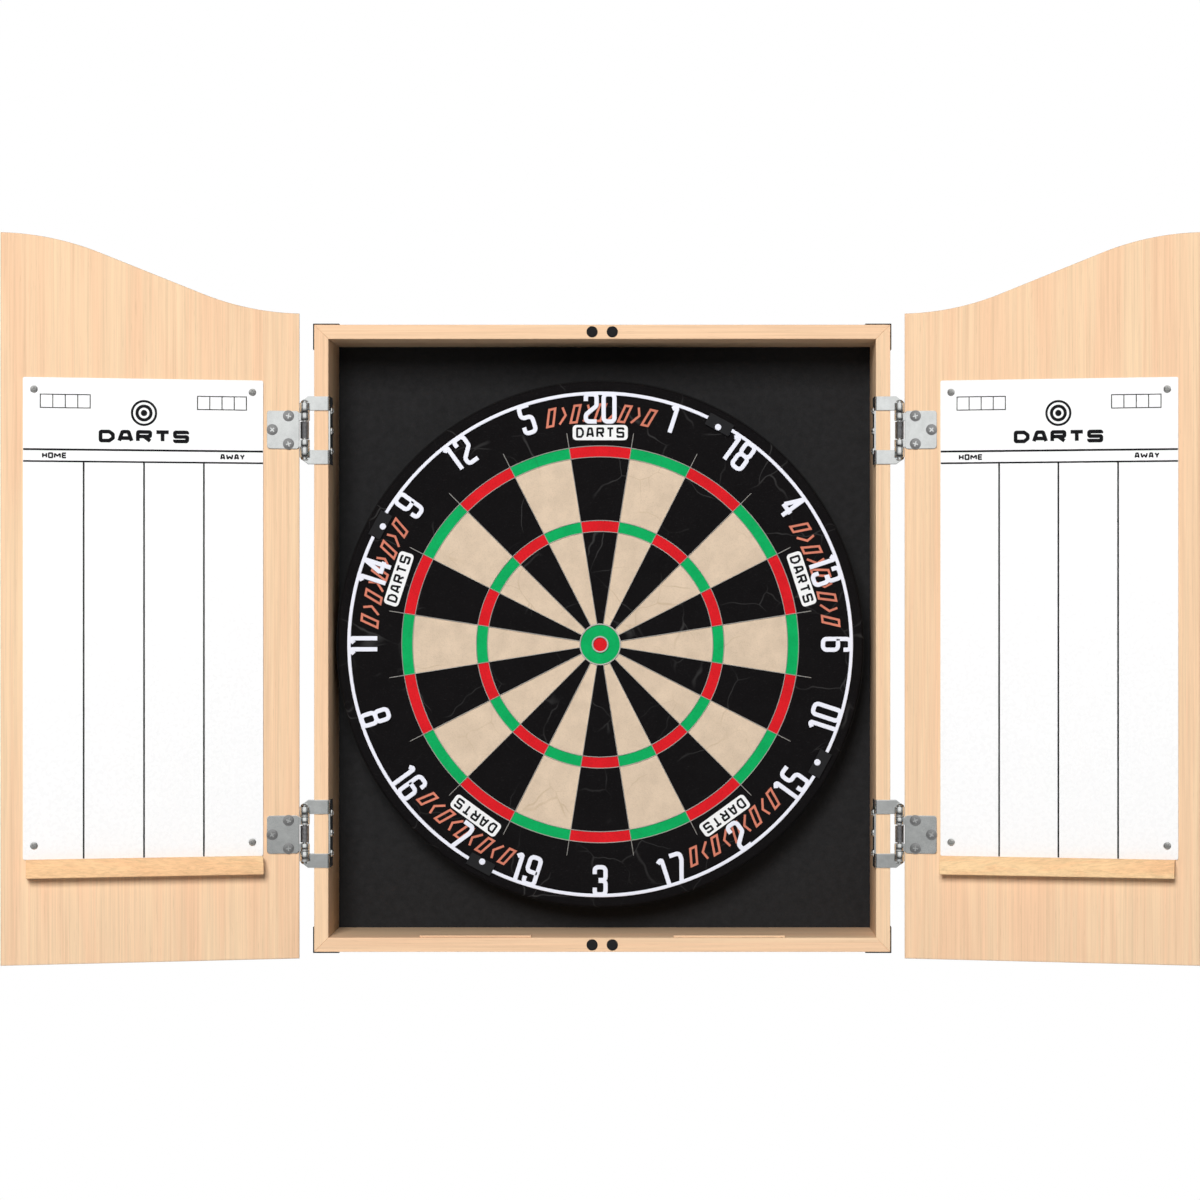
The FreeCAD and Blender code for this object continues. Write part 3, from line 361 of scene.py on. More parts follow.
def soft_section(width, low, high, radius, steps=3):
    """A rectangle with rounded corners as the section of a ribbon, centred sideways.

    A point beside each end of an arc, up to 0.7 * radius along the side, keeps the sides flat to
    the light.
    """
    half = width / 2
    corners = rectangle(-half, half, low, high)
    arcs = soft_corners(corners, radius, steps=steps).reshape(4, steps + 1, 2)
    side = np.roll(arcs[:, 0], -1, 0) - arcs[:, -1]
    length = np.linalg.norm(side, axis=1, keepdims=True)
    step = unit(side) * np.minimum(0.7 * radius, 0.3 * length)
    before = arcs[:, :1] - np.roll(step, 1, 0)[:, None]
    after = arcs[:, -1:] + step[:, None]
    return np.concatenate([before, arcs, after], axis=1).reshape(-1, 2)


def write(shells, text, size, section, radius, place, step, paint=0):
    """Writes digits or capitals as ribbons, centred on the origin of `place`.

    `size` is (width, height, gap); each later stroke of a glyph lies one `step` lower, so that
    crossing strokes never share a face. The corners of the centre lines are rounded to `radius`.
    """
    wide, tall, gap = size
    stroke = np.ptp(np.asarray(section)[:, 0])
    widths = [BREADTH.get(glyph, 1.0) * wide for glyph in text]
    left = -(sum(widths) + gap * (len(text) - 1)) / 2
    for glyph, width in zip(text, widths):
        for order, path in enumerate(GLYPHS[glyph]):
            breadth = max(width, wide) - stroke
            points = np.array(path, float) * (breadth / 2, (tall - stroke) / 2)
            closed = bool(np.allclose(points[0], points[-1]))
            if closed:
                points = points[:-1]
            if radius:
                points = distinct(soft_corners(points, radius, closed, 5), closed)
            points = points + (left + width / 2, 0)
            ribbon(shells, points, section - np.array([0, step * order]), place, closed, paint)
        left += width + gap


# ---- places ----------------------------------------------------------------------------------

def to_front(points):
    """(x, z, distance out of the wall) to the frame."""
    return np.stack([points[..., 0], -points[..., 2], points[..., 1]], -1)


def axes_place(origin, across, along, rise):
    """A place function with its own origin and three directions."""
    basis = np.array([across, along, rise], float)
    origin = np.array(origin, float)
    return lambda points: np.asarray(points) @ basis + origin


def upright(pivot):
    """A place function whose height runs up the axis through a pivot."""
    return axes_place((pivot[0], pivot[1], 0), (1, 0, 0), (0, 1, 0), (0, 0, 1))


def joint_of(body):
    return next(joint for joint in frame["joints"] if joint["child"] == body)


class Door:
    """One door's own directions: u from the hinge axis to the free edge, out of its inner face."""

    def __init__(self, side):
        self.side = side
        self.sign = SIDES[side]
        self.body = f"{side}_door"
        joint = joint_of(self.body)
        self.pivot = np.array(joint["pos_m"], float)
        turn = np.radians(joint["range_deg"][1])
        self.u = np.array([self.sign * np.cos(turn), -np.sin(turn), 0.0])
        self.out = np.array([-self.sign * np.sin(turn), -np.cos(turn), 0.0])
        self.up = np.array([0.0, 0.0, 1.0])

    def box(self, node):
        """A node's lowest and highest (u, z, out) at rest."""
        local = self.local(node)
        return local.min(0), local.max(0)

    def local(self, node):
        points = node_points(node) - self.pivot
        return np.stack([points @ self.u, points @ self.up, points @ self.out], -1)

    def place(self, points):
        """(u, z, out) to the frame."""
        points = np.asarray(points)
        return (
            points[..., :1] * self.u + points[..., 1:2] * self.up + points[..., 2:3] * self.out
            + self.pivot
        )

    def place_along(self, points):
        """(out, z, u) to the frame, for a profile that is carried along u."""
        points = np.asarray(points)
        return self.place(np.stack([points[..., 2], points[..., 1], points[..., 0]], -1))


    def turned(self, u, z, out, turn=0.0):
        """A place function at a point of the door, turned in the door's own plane."""
        across = np.cos(turn) * self.u + np.sin(turn) * self.up
        along = np.cos(turn) * self.up - np.sin(turn) * self.u
        return axes_place(self.place(np.array([u, z, out])), across, along, self.out)


def node_points(node):
    vertices = frame["nodes"][node].data.vertices
    points = np.empty(len(vertices) * 3)
    vertices.foreach_get("co", points)
    return points.reshape(-1, 3)


def low_high(node):
    low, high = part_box(node)
    return np.array(low), np.array(high)


def on_board(turn=0.0, reach=0.0, out=0.0, way=1):
    """(sideways, outwards, distance out) at a place on the board.

    The place is `reach` from the board's centre and `out` off the wall, turned clockwise by
    `turn`, and with `way` -1 it is upside down.
    """
    pivot = joint_of("dartboard")["pos_m"]
    across = np.array([np.cos(turn), 0, -np.sin(turn)])
    outward = np.array([np.sin(turn), 0, np.cos(turn)])
    origin = np.array([pivot[0], -out, pivot[2]]) + outward * reach
    return axes_place(origin, way * across, way * outward, (0, -1, 0))


# ---- materials -------------------------------------------------------------------------------

class Nodes:
    """Short calls that add nodes to a tree and feed them with values or sockets."""

    def __init__(self, tree):
        self.tree = tree

    def node(self, kind, inputs=None, **settings):
        node = self.tree.nodes.new(f"ShaderNode{kind}")
        for key, value in settings.items():
            setattr(node, key, value)
        for key, value in (inputs or {}).items():
            self.feed(node.inputs[key], value)
        return node

    def feed(self, socket, value):
        if isinstance(value, bpy.types.NodeSocket):
            self.tree.links.new(value, socket)
        elif socket.type == "RGBA" and len(value) == 3:
            socket.default_value = (*value, 1)
        else:
            socket.default_value = value

    def place(self, scale=(1, 1, 1), shift=(0, 0, 0)):
        coordinates = self.node("TexCoord").outputs["Object"]
        return self.node("Mapping", {
            "Vector": coordinates, "Scale": scale, "Location": shift,
        }).outputs["Vector"]

    def noise(self, vector, scale, detail=3.0, roughness=0.5, distortion=0.0):
        return self.node("TexNoise", {
            "Vector": vector, "Scale": scale, "Detail": detail, "Roughness": roughness,
            "Distortion": distortion,
        }).outputs["Fac"]

    def ramp(self, factor, *stops):
        node = self.node("ValToRGB", {"Fac": factor})
        elements = node.color_ramp.elements
        while len(elements) < len(stops):
            elements.new(0.5)
        for element, (position, shade) in zip(elements, stops):
            element.position = position
            element.color = (*shade, 1) if np.ndim(shade) else (shade, shade, shade, 1)
        return node.outputs["Color"]

    def mix(self, factor, first, second, blend="MIX"):
        node = self.node("Mix", data_type="RGBA", blend_type=blend)
        self.feed(node.inputs["Factor"], factor)
        first_colour, second_colour = [item for item in node.inputs if item.type == "RGBA"]
        self.feed(first_colour, first)
        self.feed(second_colour, second)
        return next(item for item in node.outputs if item.type == "RGBA")

    def sum(self, operation, first, second):
        node = self.node("Math", operation=operation)
        self.feed(node.inputs[0], first)
        self.feed(node.inputs[1], second)
        return node.outputs[0]


class Recipe(Nodes):
    """A material whose tree ends in one shader."""

    def __init__(self, name, **values):
        self.material = bpy.data.materials.new(name)
        self.material.use_nodes = True
        super().__init__(self.material.node_tree)
        self.shader = self.tree.nodes["Principled BSDF"]
        for socket, value in values.items():
            self.shader.inputs[socket.replace("_", " ")].default_value = value

    def bump(self, height, strength, distance):
        node = self.node("Bump", {"Height": height, "Strength": strength, "Distance": distance})
        self.feed(self.shader.inputs["Normal"], node.outputs["Normal"])

    def paint(self, value):
        self.feed(self.shader.inputs["Base Color"], value)

    def roughen(self, value):
        self.feed(self.shader.inputs["Roughness"], value)


def tint(shade, factor):
    return tuple(min(1.0, channel * factor) for channel in shade)


def wood(name, base, grain, seed, figure, contrast=1.0):
    """Lacquered wood: long fibres, bands that wander, rosy streaks, short pores and a faint bump.

    `grain` is the axis that the fibres follow; every pattern is stretched 10 to 80 times along it.
    """
    recipe = Recipe(name, Specular_IOR_Level=0.25)

    def squeezed(along, across):
        scale = [across, across, across]
        scale["XYZ".index(grain)] = along
        return recipe.place(scale, (seed, seed * 0.7, seed * 1.3))

    bands = recipe.noise(squeezed(1.3, 16), 1.0, 2.0, 0.55, 1.6 * figure)
    rings = recipe.noise(squeezed(1.6, 130), 1.0, 2.0, 0.6, 1.0 * figure)
    streaks = recipe.noise(squeezed(3.5, 330), 1.0, 2.0, 0.6, 0.4)
    fibres = recipe.noise(squeezed(9.0, 700), 1.0, 2.0, 0.7)
    pores = recipe.noise(squeezed(60.0, 1700), 1.0, 1.0, 0.5)
    rosy = (base[0] * 0.99, base[1] * (1 - 0.07 * contrast), base[2] * (1 - 0.08 * contrast))
    pale = (base[0] * 1.02, base[1] * 1.05, base[2] * (1 + 0.05 * contrast))
    tone = recipe.ramp(bands, (0.34, rosy), (0.50, base), (0.66, pale))
    tone = recipe.mix(recipe.ramp(rings, (0.50, 0.0), (0.66, 0.75)), tone, rosy)
    shade = recipe.ramp(streaks, (0.30, 1 - 0.08 * contrast), (0.56, 1.0))
    tone = recipe.mix(0.9, tone, shade, "MULTIPLY")
    shade = recipe.ramp(fibres, (0.30, 1 - 0.12 * contrast), (0.62, 1.0))
    tone = recipe.mix(1.0, tone, shade, "MULTIPLY")
    shade = recipe.ramp(pores, (0.25, 1 - 0.14 * contrast), (0.33, 1.0))
    recipe.paint(recipe.mix(0.8, tone, shade, "MULTIPLY"))
    recipe.roughen(recipe.ramp(streaks, (0.3, 0.48), (0.8, 0.60)))
    recipe.bump(fibres, 0.10, 0.0002)
    return recipe.material


def sisal(name, base, crack, crack_strength, speck):
    """Packed end fibres: fine specks, soft blotches and hair cracks between the bundles.

    A crack follows the borders of wandering cells about 45 mm across, and only part of it shows.
    """
    recipe = Recipe(name, Roughness=0.92, Specular_IOR_Level=0.05)
    place = recipe.place()
    wander = recipe.node("TexNoise", {"Vector": place, "Scale": 16.0, "Detail": 3.0})
    offset = recipe.node("VectorMath", operation="MULTIPLY_ADD")
    for number, value in enumerate((wander.outputs["Color"], (0.055, 0.0, 0.055), place)):
        recipe.feed(offset.inputs[number], value)
    cells = recipe.node("TexVoronoi", {"Vector": offset.outputs[0], "Scale": 21.0},
                        feature="DISTANCE_TO_EDGE")
    line = recipe.ramp(cells.outputs["Distance"], (0.0, 1.0), (0.006, 0.7), (0.012, 0.0))
    shown = recipe.ramp(recipe.noise(place, 24.0, 2.0), (0.47, 0.0), (0.62, 1.0))
    line = recipe.sum("MULTIPLY", recipe.sum("MULTIPLY", line, shown), crack_strength)
    blotch = recipe.ramp(recipe.noise(place, 55.0, 4.0, 0.6), (0.3, tint(base, 0.90)),
                         (0.7, tint(base, 1.07)))
    fibre = recipe.noise(place, 1500.0, 2.0, 0.7)
    dots = recipe.ramp(fibre, (0.28, 1 - speck), (0.5, 1.0))
    tone = recipe.mix(1.0, blotch, dots, "MULTIPLY")
    long = recipe.noise(recipe.place(scale=(500, 500, 2600)), 1.0, 1.0)
    tone = recipe.mix(recipe.ramp(long, (0.66, 0.0), (0.76, 0.30)), tone, crack)
    recipe.paint(recipe.mix(line, tone, crack))
    recipe.bump(fibre, 0.35, 0.0004)
    return recipe.material


def foil(name, base):
    """Grained charcoal foil: soft cloudy mottling over a fine pebble."""
    recipe = Recipe(name, Specular_IOR_Level=0.15)
    place = recipe.place()
    cloud = recipe.noise(place, 160.0, 4.0, 0.65)
    pebble = recipe.noise(place, 900.0, 2.0, 0.6)
    weave = recipe.noise(recipe.place(scale=(2600, 2600, 700)), 1.0, 1.0)
    tone = recipe.ramp(cloud, (0.30, tint(base, 0.78)), (0.70, tint(base, 1.25)))
    tone = recipe.mix(0.6, tone, recipe.ramp(weave, (0.35, 0.75), (0.65, 1.0)), "MULTIPLY")
    recipe.paint(tone)
    recipe.roughen(recipe.ramp(cloud, (0.3, 0.55), (0.7, 0.72)))
    recipe.bump(recipe.sum("ADD", pebble, cloud), 0.35, 0.0003)
    return recipe.material


def metal(name, base, roughness, brushed=(300, 300, 300), wear=0.06, strength=0.06):
    """Plated metal: fine drawn lines and cloudy patches in its gloss."""
    recipe = Recipe(name, Metallic=1.0)
    lines = recipe.noise(recipe.place(scale=brushed), 1.0, 2.0)
    cloud = recipe.noise(recipe.place(), 90.0, 3.0, 0.6)
    recipe.paint(recipe.ramp(cloud, (0.3, tint(base, 0.84)), (0.7, base)))
    both = recipe.sum("MULTIPLY", recipe.sum("ADD", lines, cloud), 0.5)
    recipe.roughen(recipe.ramp(both, (0.3, roughness), (0.7, roughness + wear)))
    recipe.bump(lines, strength, 0.00005)
    return recipe.material


def coat(name, base, roughness, speckle=0.04, grain=700.0, strength=0.08, **values):
    """Paint, plastic, rubber or ink: a slight orange-peel bump and a faint change of tone."""
    recipe = Recipe(name, **values)
    grit = recipe.noise(recipe.place(), grain, 3.0, 0.6)
    cloud = recipe.noise(recipe.place(), 40.0, 3.0)
    recipe.paint(recipe.ramp(cloud, (0.3, tint(base, 1 - speckle)), (0.7, base)))
    recipe.roughen(recipe.ramp(grit, (0.3, roughness), (0.7, min(1.0, roughness + 0.08))))
    recipe.bump(grit, strength, 0.0001)
    return recipe.material


def fibreboard(name):
    """Raw brown board with flecks of fibre, on the rear of the cabinet and of the dartboard."""
    recipe = Recipe(name, Roughness=0.85, Specular_IOR_Level=0.25)
    place = recipe.place()
    fleck = recipe.noise(place, 700.0, 3.0, 0.7)
    cloud = recipe.noise(place, 30.0, 3.0)
    tone = recipe.ramp(cloud, (0.3, (0.24, 0.15, 0.085)), (0.7, (0.31, 0.20, 0.12)))
    shade = recipe.ramp(fleck, (0.3, 0.72), (0.62, 1.0))
    recipe.paint(recipe.mix(1.0, tone, shade, "MULTIPLY"))
    recipe.bump(fleck, 0.3, 0.0003)
    return recipe.material


def make_materials(colours):
    """Every finish of the cabinet, by name."""
    beech = tuple(colours.beech)
    pine = tuple(colours.pine)
    return {
        "upright": wood("beech_upright", beech, "Z", seed=3.0, figure=0.6),
        "level": wood("beech_level", beech, "X", seed=11.0, figure=0.6),
        "left_door": wood("beech_left_door", beech, "Z", seed=23.0, figure=1.6),
        "right_door": wood("beech_right_door", beech, "Z", seed=47.0, figure=1.6),
        "pine": wood("pine_ledge", pine, "X", seed=5.0, figure=0.9, contrast=1.5),
        "foil": foil("charcoal_foil", tuple(colours.charcoal)),
        "fibreboard": fibreboard("raw_fibreboard"),
        "sheet": coat("dry_wipe_sheet", tuple(colours.white), 0.24, 0.01, 300.0, 0.003,
                      Coat_Weight=0.3, Coat_Roughness=0.12),
        "ink": coat("black_ink", (0.008, 0.008, 0.009), 0.6, Specular_IOR_Level=0.1),
        "coral": coat("coral_ink", tuple(colours.coral), 0.7, 0.2, 1500.0, 0.2),
        "white_ink": coat("white_ink", (0.80, 0.80, 0.80), 0.6, 0.06, 1500.0, 0.2),
        "nickel": metal("bright_nickel", (0.80, 0.82, 0.81), 0.11, (300, 300, 2400)),
        "screw": metal("dull_screw", (0.40, 0.40, 0.40), 0.30, (900, 900, 900)),
        "zinc": metal("zinc_plate", (0.62, 0.62, 0.60), 0.34),
        "spring": metal("oiled_spring", (0.34, 0.34, 0.35), 0.30),
        "corner": coat("black_corner_steel", (0.018, 0.018, 0.018), 0.38,
                       Specular_IOR_Level=0.3),
        "rubber": coat("black_rubber", (0.016, 0.016, 0.017), 0.72, 0.15, 1800.0, 0.25,
                       Specular_IOR_Level=0.15),
        "clip": coat("moulded_clip", (0.013, 0.013, 0.014), 0.5, 0.1, 1200.0, 0.2,
                     Specular_IOR_Level=0.2),
        "band": coat("black_band", (0.007, 0.007, 0.007), 0.6, Specular_IOR_Level=0.15),
        "wire": coat("bright_wire", (0.50, 0.49, 0.46), 0.30, 0.10, 900.0, 0.1, Metallic=0.3),
        "ring": coat("white_coat", tuple(colours.ring_white), 0.38, 0.05),
        "black": sisal("sisal_black", tuple(colours.black_sisal), (0.040, 0.039, 0.039), 0.8, 0.3),
        "cream": sisal("sisal_cream", tuple(colours.cream_sisal), (0.44, 0.33, 0.22), 0.55, 0.16),
        "red": sisal("sisal_red", tuple(colours.red_sisal), (0.30, 0.02, 0.02), 0.3, 0.25),
        "green": sisal("sisal_green", tuple(colours.green_sisal), (0.01, 0.15, 0.05), 0.3, 0.25),
    }


FINISHES = {}


def finish(*names):
    if not FINISHES:
        FINISHES.update(make_materials(bpy.context.scene.cabinet_colours))
    return [FINISHES[name] for name in names]


def repaint(node, name):
    """Gives a CAD node one of the finishes."""
    thing = frame["nodes"][node]
    thing.data.materials.clear()
    thing.data.materials.append(finish(name)[0])


# ---- screws ----------------------------------------------------------------------------------

def screw_head(shells, place, radius, rise, recess, sunk=0.0):
    """A domed head with a cross recess, as a height over a disc.

    The height is a spherical cap of the given rise; inside the cross, where the shorter of |x| and
    |y| is under the slot's half width, it drops by the recess depth over a narrow wall. The rim
    turns down by `sunk`.
    """
    steps = 48
    slot, arm, bowl, wall = np.array([0.13, 0.56, 0.20, 0.05]) * radius
    share = np.linspace(0, 1, 26) ** 0.8
    r, a = np.meshgrid(share * radius, full_turn(steps), indexing="ij")
    x = r * np.cos(a)
    y = r * np.sin(a)
    height = rise * np.sqrt(np.clip(1 - (r / radius) ** 2 * 0.92, 0, 1))

    def within(distance, limit):
        return np.clip((limit - distance) / wall + 0.5, 0, 1)

    inside = within(np.minimum(np.abs(x), np.abs(y)), slot)
    inside = inside * within(np.maximum(np.abs(x), np.abs(y)), arm)
    height = height - recess * np.maximum(inside, within(r, bowl))
    skirt = np.stack([x[-1], y[-1], np.full(steps, -sunk)], -1)[None]
    points = np.concatenate([np.stack([x, y, height], -1), skirt])
    shells.grid(place(points), wrap_columns=True)
    shells.cap(place(skirt[0]))


# ---- operators -------------------------------------------------------------------------------

class PieceOperator:
    """What every operator of this file shares."""

    bl_options = {"REGISTER", "UNDO"}

    @property
    def sizes(self):
        return bpy.context.scene.cabinet_sizes


class CABINET_OT_frame(PieceOperator, bpy.types.Operator):
    """Four frame boards, mitred where they meet."""

    bl_idname = "cabinet.frame"
    bl_label = "Frame boards"

    boards = (("frame_top_rail", 2, "level"), ("frame_right_stile", 1, "upright"),
              ("frame_bottom_rail", 0, "level"), ("frame_left_stile", 3, "upright"))

    def execute(self, context):
        low, high = low_high("frame_top_rail")
        thick = high[2] - low[2]
        outer = rectangle(low[0], high[0], -high[2], high[2])
        inner = outer - np.sign(outer) * thick
        for name, first, material in self.boards:
            second = (first + 1) % 4
            outline = [outer[first], outer[second], inner[second], inner[first]]
            slab_piece(f"{name}_board", name, "cabinet", material, outline,
                       (0.0, -low[1]), self.sizes.board_ease, to_front)
        return {"FINISHED"}


class CABINET_OT_corner_plates(PieceOperator, bpy.types.Operator):
    """Thin black corner plates, bent round the cabinet's corners, and their nails."""

    bl_idname = "cabinet.corner_plates"
    bl_label = "Corner plates"

    gauge = 1.0 * MM
    corner = 0.3 * MM
    ease = 0.15 * MM

    def execute(self, context):
        gauge = self.gauge
        for vertical, side_z in (("top", 1), ("bottom", -1)):
            for side, side_x in SIDES.items():
                name = f"corner_plate_{vertical}_{side}"
                low, high = low_high(name)
                leg = high[0] - low[0]
                tip = (high[0] if side_x > 0 else low[0], high[2] if side_z > 0 else low[2])
                outline = np.array([(-leg, 0), (0, 0), (0, -leg), (-gauge, -leg),
                                    (-gauge, -gauge), (-leg, -gauge)])
                outline = soft_corners(outline * (side_x, side_z) + tip, self.corner, steps=2)
                slab_piece(f"{name}_steel", name, "cabinet", "corner", outline,
                           (-high[1], -low[1]), self.ease, to_front, steps=2)
        repaint("corner_nails", "corner")
        return {"FINISHED"}


class CABINET_OT_back(PieceOperator, bpy.types.Operator):
    """The grained foil on the back panel, and the panel and hanger behind the board."""

    bl_idname = "cabinet.back"
    bl_label = "Back panel"

    def execute(self, context):
        low, high = low_high("back_panel")
        heights = (-low[1], -low[1] + self.sizes.foil)
        slab_piece("back_panel_foil", None, "cabinet", "foil",
                   rectangle(low[0], high[0], low[2], high[2]), heights, 0.05 * MM, to_front,
                   steps=1)
        repaint("back_panel", "fibreboard")
        for node in ("back_panel_screws", "board_hanger", "hanger_screws"):
            repaint(node, "zinc")
        return {"FINISHED"}


class CABINET_OT_stops(PieceOperator, bpy.types.Operator):
    """The rubber stops on the frame's front edge and the two strips inside the bottom board."""

    bl_idname = "cabinet.stops"
    bl_label = "Stops and strips"

    # half the section of a stop, in shares of its radius and of its rise
    dome = ((0, 0), (0.97, 0), (1, 0.25), (0.985, 0.55), (0.93, 0.8), (0.86, 0.78), (0.78, 0.86),
            (0.5, 0.96), (0, 1))
    strip_ease = 0.4 * MM

    def execute(self, context):
        for vertical in ("top", "bottom"):
            for side in SIDES:
                name = f"door_bumper_{vertical}_{side}"
                low, high = low_high(name)
                x, y, z = (low + high) / 2
                shells = Shells()
                place = axes_place((x, high[1], z), (1, 0, 0), (0, 0, 1), (0, -1, 0))
                size = ((high[0] - low[0]) / 2, high[1] - low[1])
                lathe(shells, np.array(self.dome) * size, place)
                finish_piece(f"{name}_rubber", shells, "cabinet", finish("rubber"),
                             (name,))
        for side in SIDES:
            name = f"stop_strip_{side}"
            low, high = low_high(name)
            slab_piece(f"{name}_wood", name, "cabinet", "level",
                       rectangle(low[0], high[0], low[2], high[2]), (-high[1], -low[1]),
                       self.strip_ease, to_front)
        return {"FINISHED"}


class CABINET_OT_doors(PieceOperator, bpy.types.Operator):
    """The two door panels, with a top edge that swings from the hinge up to the free edge."""

    bl_idname = "cabinet.doors"
    bl_label = "Doors"

    def outline(self, door):
        """Two arcs of one radius R joined by a straight slope, level at both edges.

        With width w and rise r the slope is sqrt(w^2 + (2R - r)^2 - 4R^2) long, and its angle is
        atan(w / (2R - r)) - atan(slope / 2R).
        """
        points = door.local(f"{door.side}_door_panel")
        start, bottom = points[:, 0].min(), points[:, 1].min()
        end, top = points[:, 0].max(), points[:, 1].max()
        near_hinge = points[:, 0] < start + 0.01 * MM
        shoulder = points[near_hinge, 1].max()
        radius = self.sizes.arch_radius
        width = end - start
        rise = top - shoulder
        slope = np.sqrt(width ** 2 + (2 * radius - rise) ** 2 - 4 * radius ** 2)
        angle = np.arctan2(width, 2 * radius - rise) - np.arctan2(slope, 2 * radius)
        turn = np.linspace(0, angle, 28)
        hollow = np.stack([start + radius * np.sin(turn),
                           shoulder + radius * (1 - np.cos(turn))], -1)
        crown = np.stack([end - radius * np.sin(turn), top - radius * (1 - np.cos(turn))], -1)
        corners = np.array([(start, bottom), (end, bottom)])
        return np.concatenate([corners, crown, hollow[::-1]])

    def execute(self, context):
        for side in SIDES:
            door = Door(side)
            name = f"{side}_door_panel"
            low, high = door.box(name)
            slab_piece(f"{name}_wood", name, door.body, f"{side}_door",
                       self.outline(door), (low[2], high[2]), self.sizes.door_ease, door.place)
        return {"FINISHED"}


class CABINET_OT_scoreboards(PieceOperator, bpy.types.Operator):
    """The dry-wipe sheets, their printed columns and headings, and their corner screws."""

    bl_idname = "cabinet.scoreboards"
    bl_label = "Scoreboards"

    sheet_ease = 0.25 * MM
    margin = 0.3 * MM
    # depths below the sheet's top edge
    upper_line = 59.5 * MM
    lower_line = 69.3 * MM
    emblem_depth = 28.5 * MM
    word_depth = 48.0 * MM
    frames_depth = 14.0 * MM
    # the two rows of four small frames
    frames_tall = 11.0 * MM
    frames_wide = 40.4 * MM
    frames_starts = (14.0 * MM, -54.5 * MM)
    hair = 0.4 * MM
    # inner and outer radii of the emblem's rings
    emblem = ((0.0, 2.6 * MM), (4.4 * MM, 7.0 * MM), (8.9 * MM, 10.8 * MM))
    # width, height and gap of the capitals, and their stroke
    word_size = (13.2 * MM, 10.6 * MM, 2.0 * MM)
    word_stroke = 3.1 * MM
    side_size = (4.2 * MM, 4.9 * MM, 0.6 * MM)
    side_stroke = 1.3 * MM
    side_inset = 25.5 * MM
    screw_radius = 3.1 * MM

    def execute(self, context):
        for side in SIDES:
            door = Door(side)
            name = f"{side}_scoreboard"
            low, high = door.box(name)
            outline = soft_corners(rectangle(low[0], high[0], low[1], high[1]),
                                   self.sizes.sheet_corner)
            slab_piece(f"{name}_sheet", name, door.body, "sheet", outline,
                       (low[2], high[2]), self.sheet_ease, door.place)
            self.print_sheet(door, low, high)
            self.make_screws(door)
        return {"FINISHED"}

    def print_sheet(self, door, low, high):
        face = high[2]
        half = self.sizes.line / 2
        wide = high[0] - low[0]
        upper = high[1] - self.upper_line
        lower = high[1] - self.lower_line
        margin = self.margin
        shells = Shells()

        def bar(*edges):
            ink = self.sizes.ink
            slab(shells, rectangle(*edges), face, face + ink, ink * 0.2, door.place, steps=1)

        for z, thick in ((upper, 1.15), (lower, 1.0)):
            bar(low[0] + margin, high[0] - margin, z - half * thick, z + half * thick)
        for share in (0.25, 0.5, 0.75):
            u = low[0] + wide * share
            bar(u - half, u + half, low[1] + margin, lower)
        hair = self.hair
        top = high[1] - self.frames_depth
        bottom = top - self.frames_tall
        for start, edge in zip(self.frames_starts, (low[0], high[0])):
            u0 = edge + start
            u1 = u0 + self.frames_wide
            for z in (top, bottom):
                bar(u0 - hair, u1 + hair, z - hair, z + hair)
            for u in np.linspace(u0, u1, 5):
                bar(u - hair, u + hair, bottom, top)
        middle = (low[0] + high[0]) / 2
        self.print_emblem(shells, door, middle, high[1] - self.emblem_depth, face)
        self.print_word(shells, door, "DARTS", middle, high[1] - self.word_depth, face,
                        self.word_size, self.word_stroke)
        for words, way in (("HOME", -1), ("AWAY", 1)):
            u = middle + door.sign * way * (wide / 2 - self.side_inset)
            self.print_word(shells, door, words, u, (upper + lower) / 2, face,
                            self.side_size, self.side_stroke)
        finish_piece(f"{door.side}_scoreboard_print", shells, door.body,
                     finish("ink"))

    def print_word(self, shells, door, words, u, z, face, size, stroke):
        """Plain capitals, centred on (u, z); they read from left to right for the viewer."""
        ink = self.sizes.ink
        section = soft_section(stroke, 0.0, ink, ink * 0.2, steps=1)
        place = axes_place(door.place(np.array([u, z, face])), door.sign * door.u, door.up,
                           door.out)
        write(shells, words, size, section, stroke * 0.3, place, ink * 0.1)

    def print_emblem(self, shells, door, u, z, face):
        """A plain target: two rings and a spot, each a washer of ink."""
        ink = self.sizes.ink
        place = door.turned(u, z, face)
        for inner, outer in self.emblem:
            lathe(shells, [(inner, 0), (inner, ink), (outer, ink), (outer, 0)], place, 72)

    def make_screws(self, door):
        node = f"{door.side}_scoreboard_screws"
        low, high = door.box(node)
        radius = self.screw_radius
        face = door.box(f"{door.side}_scoreboard")[1][2]
        shells = Shells()
        turn = 0.4
        for u in (low[0] + radius, high[0] - radius):
            for z in (low[1] + radius, high[1] - radius):
                screw_head(shells, door.turned(u, z, face, turn), radius, 0.95 * MM, 0.6 * MM)
                turn += 0.9
        finish_piece(f"{door.side}_scoreboard_screw_heads", shells, door.body,
                     finish("zinc"), (node,))


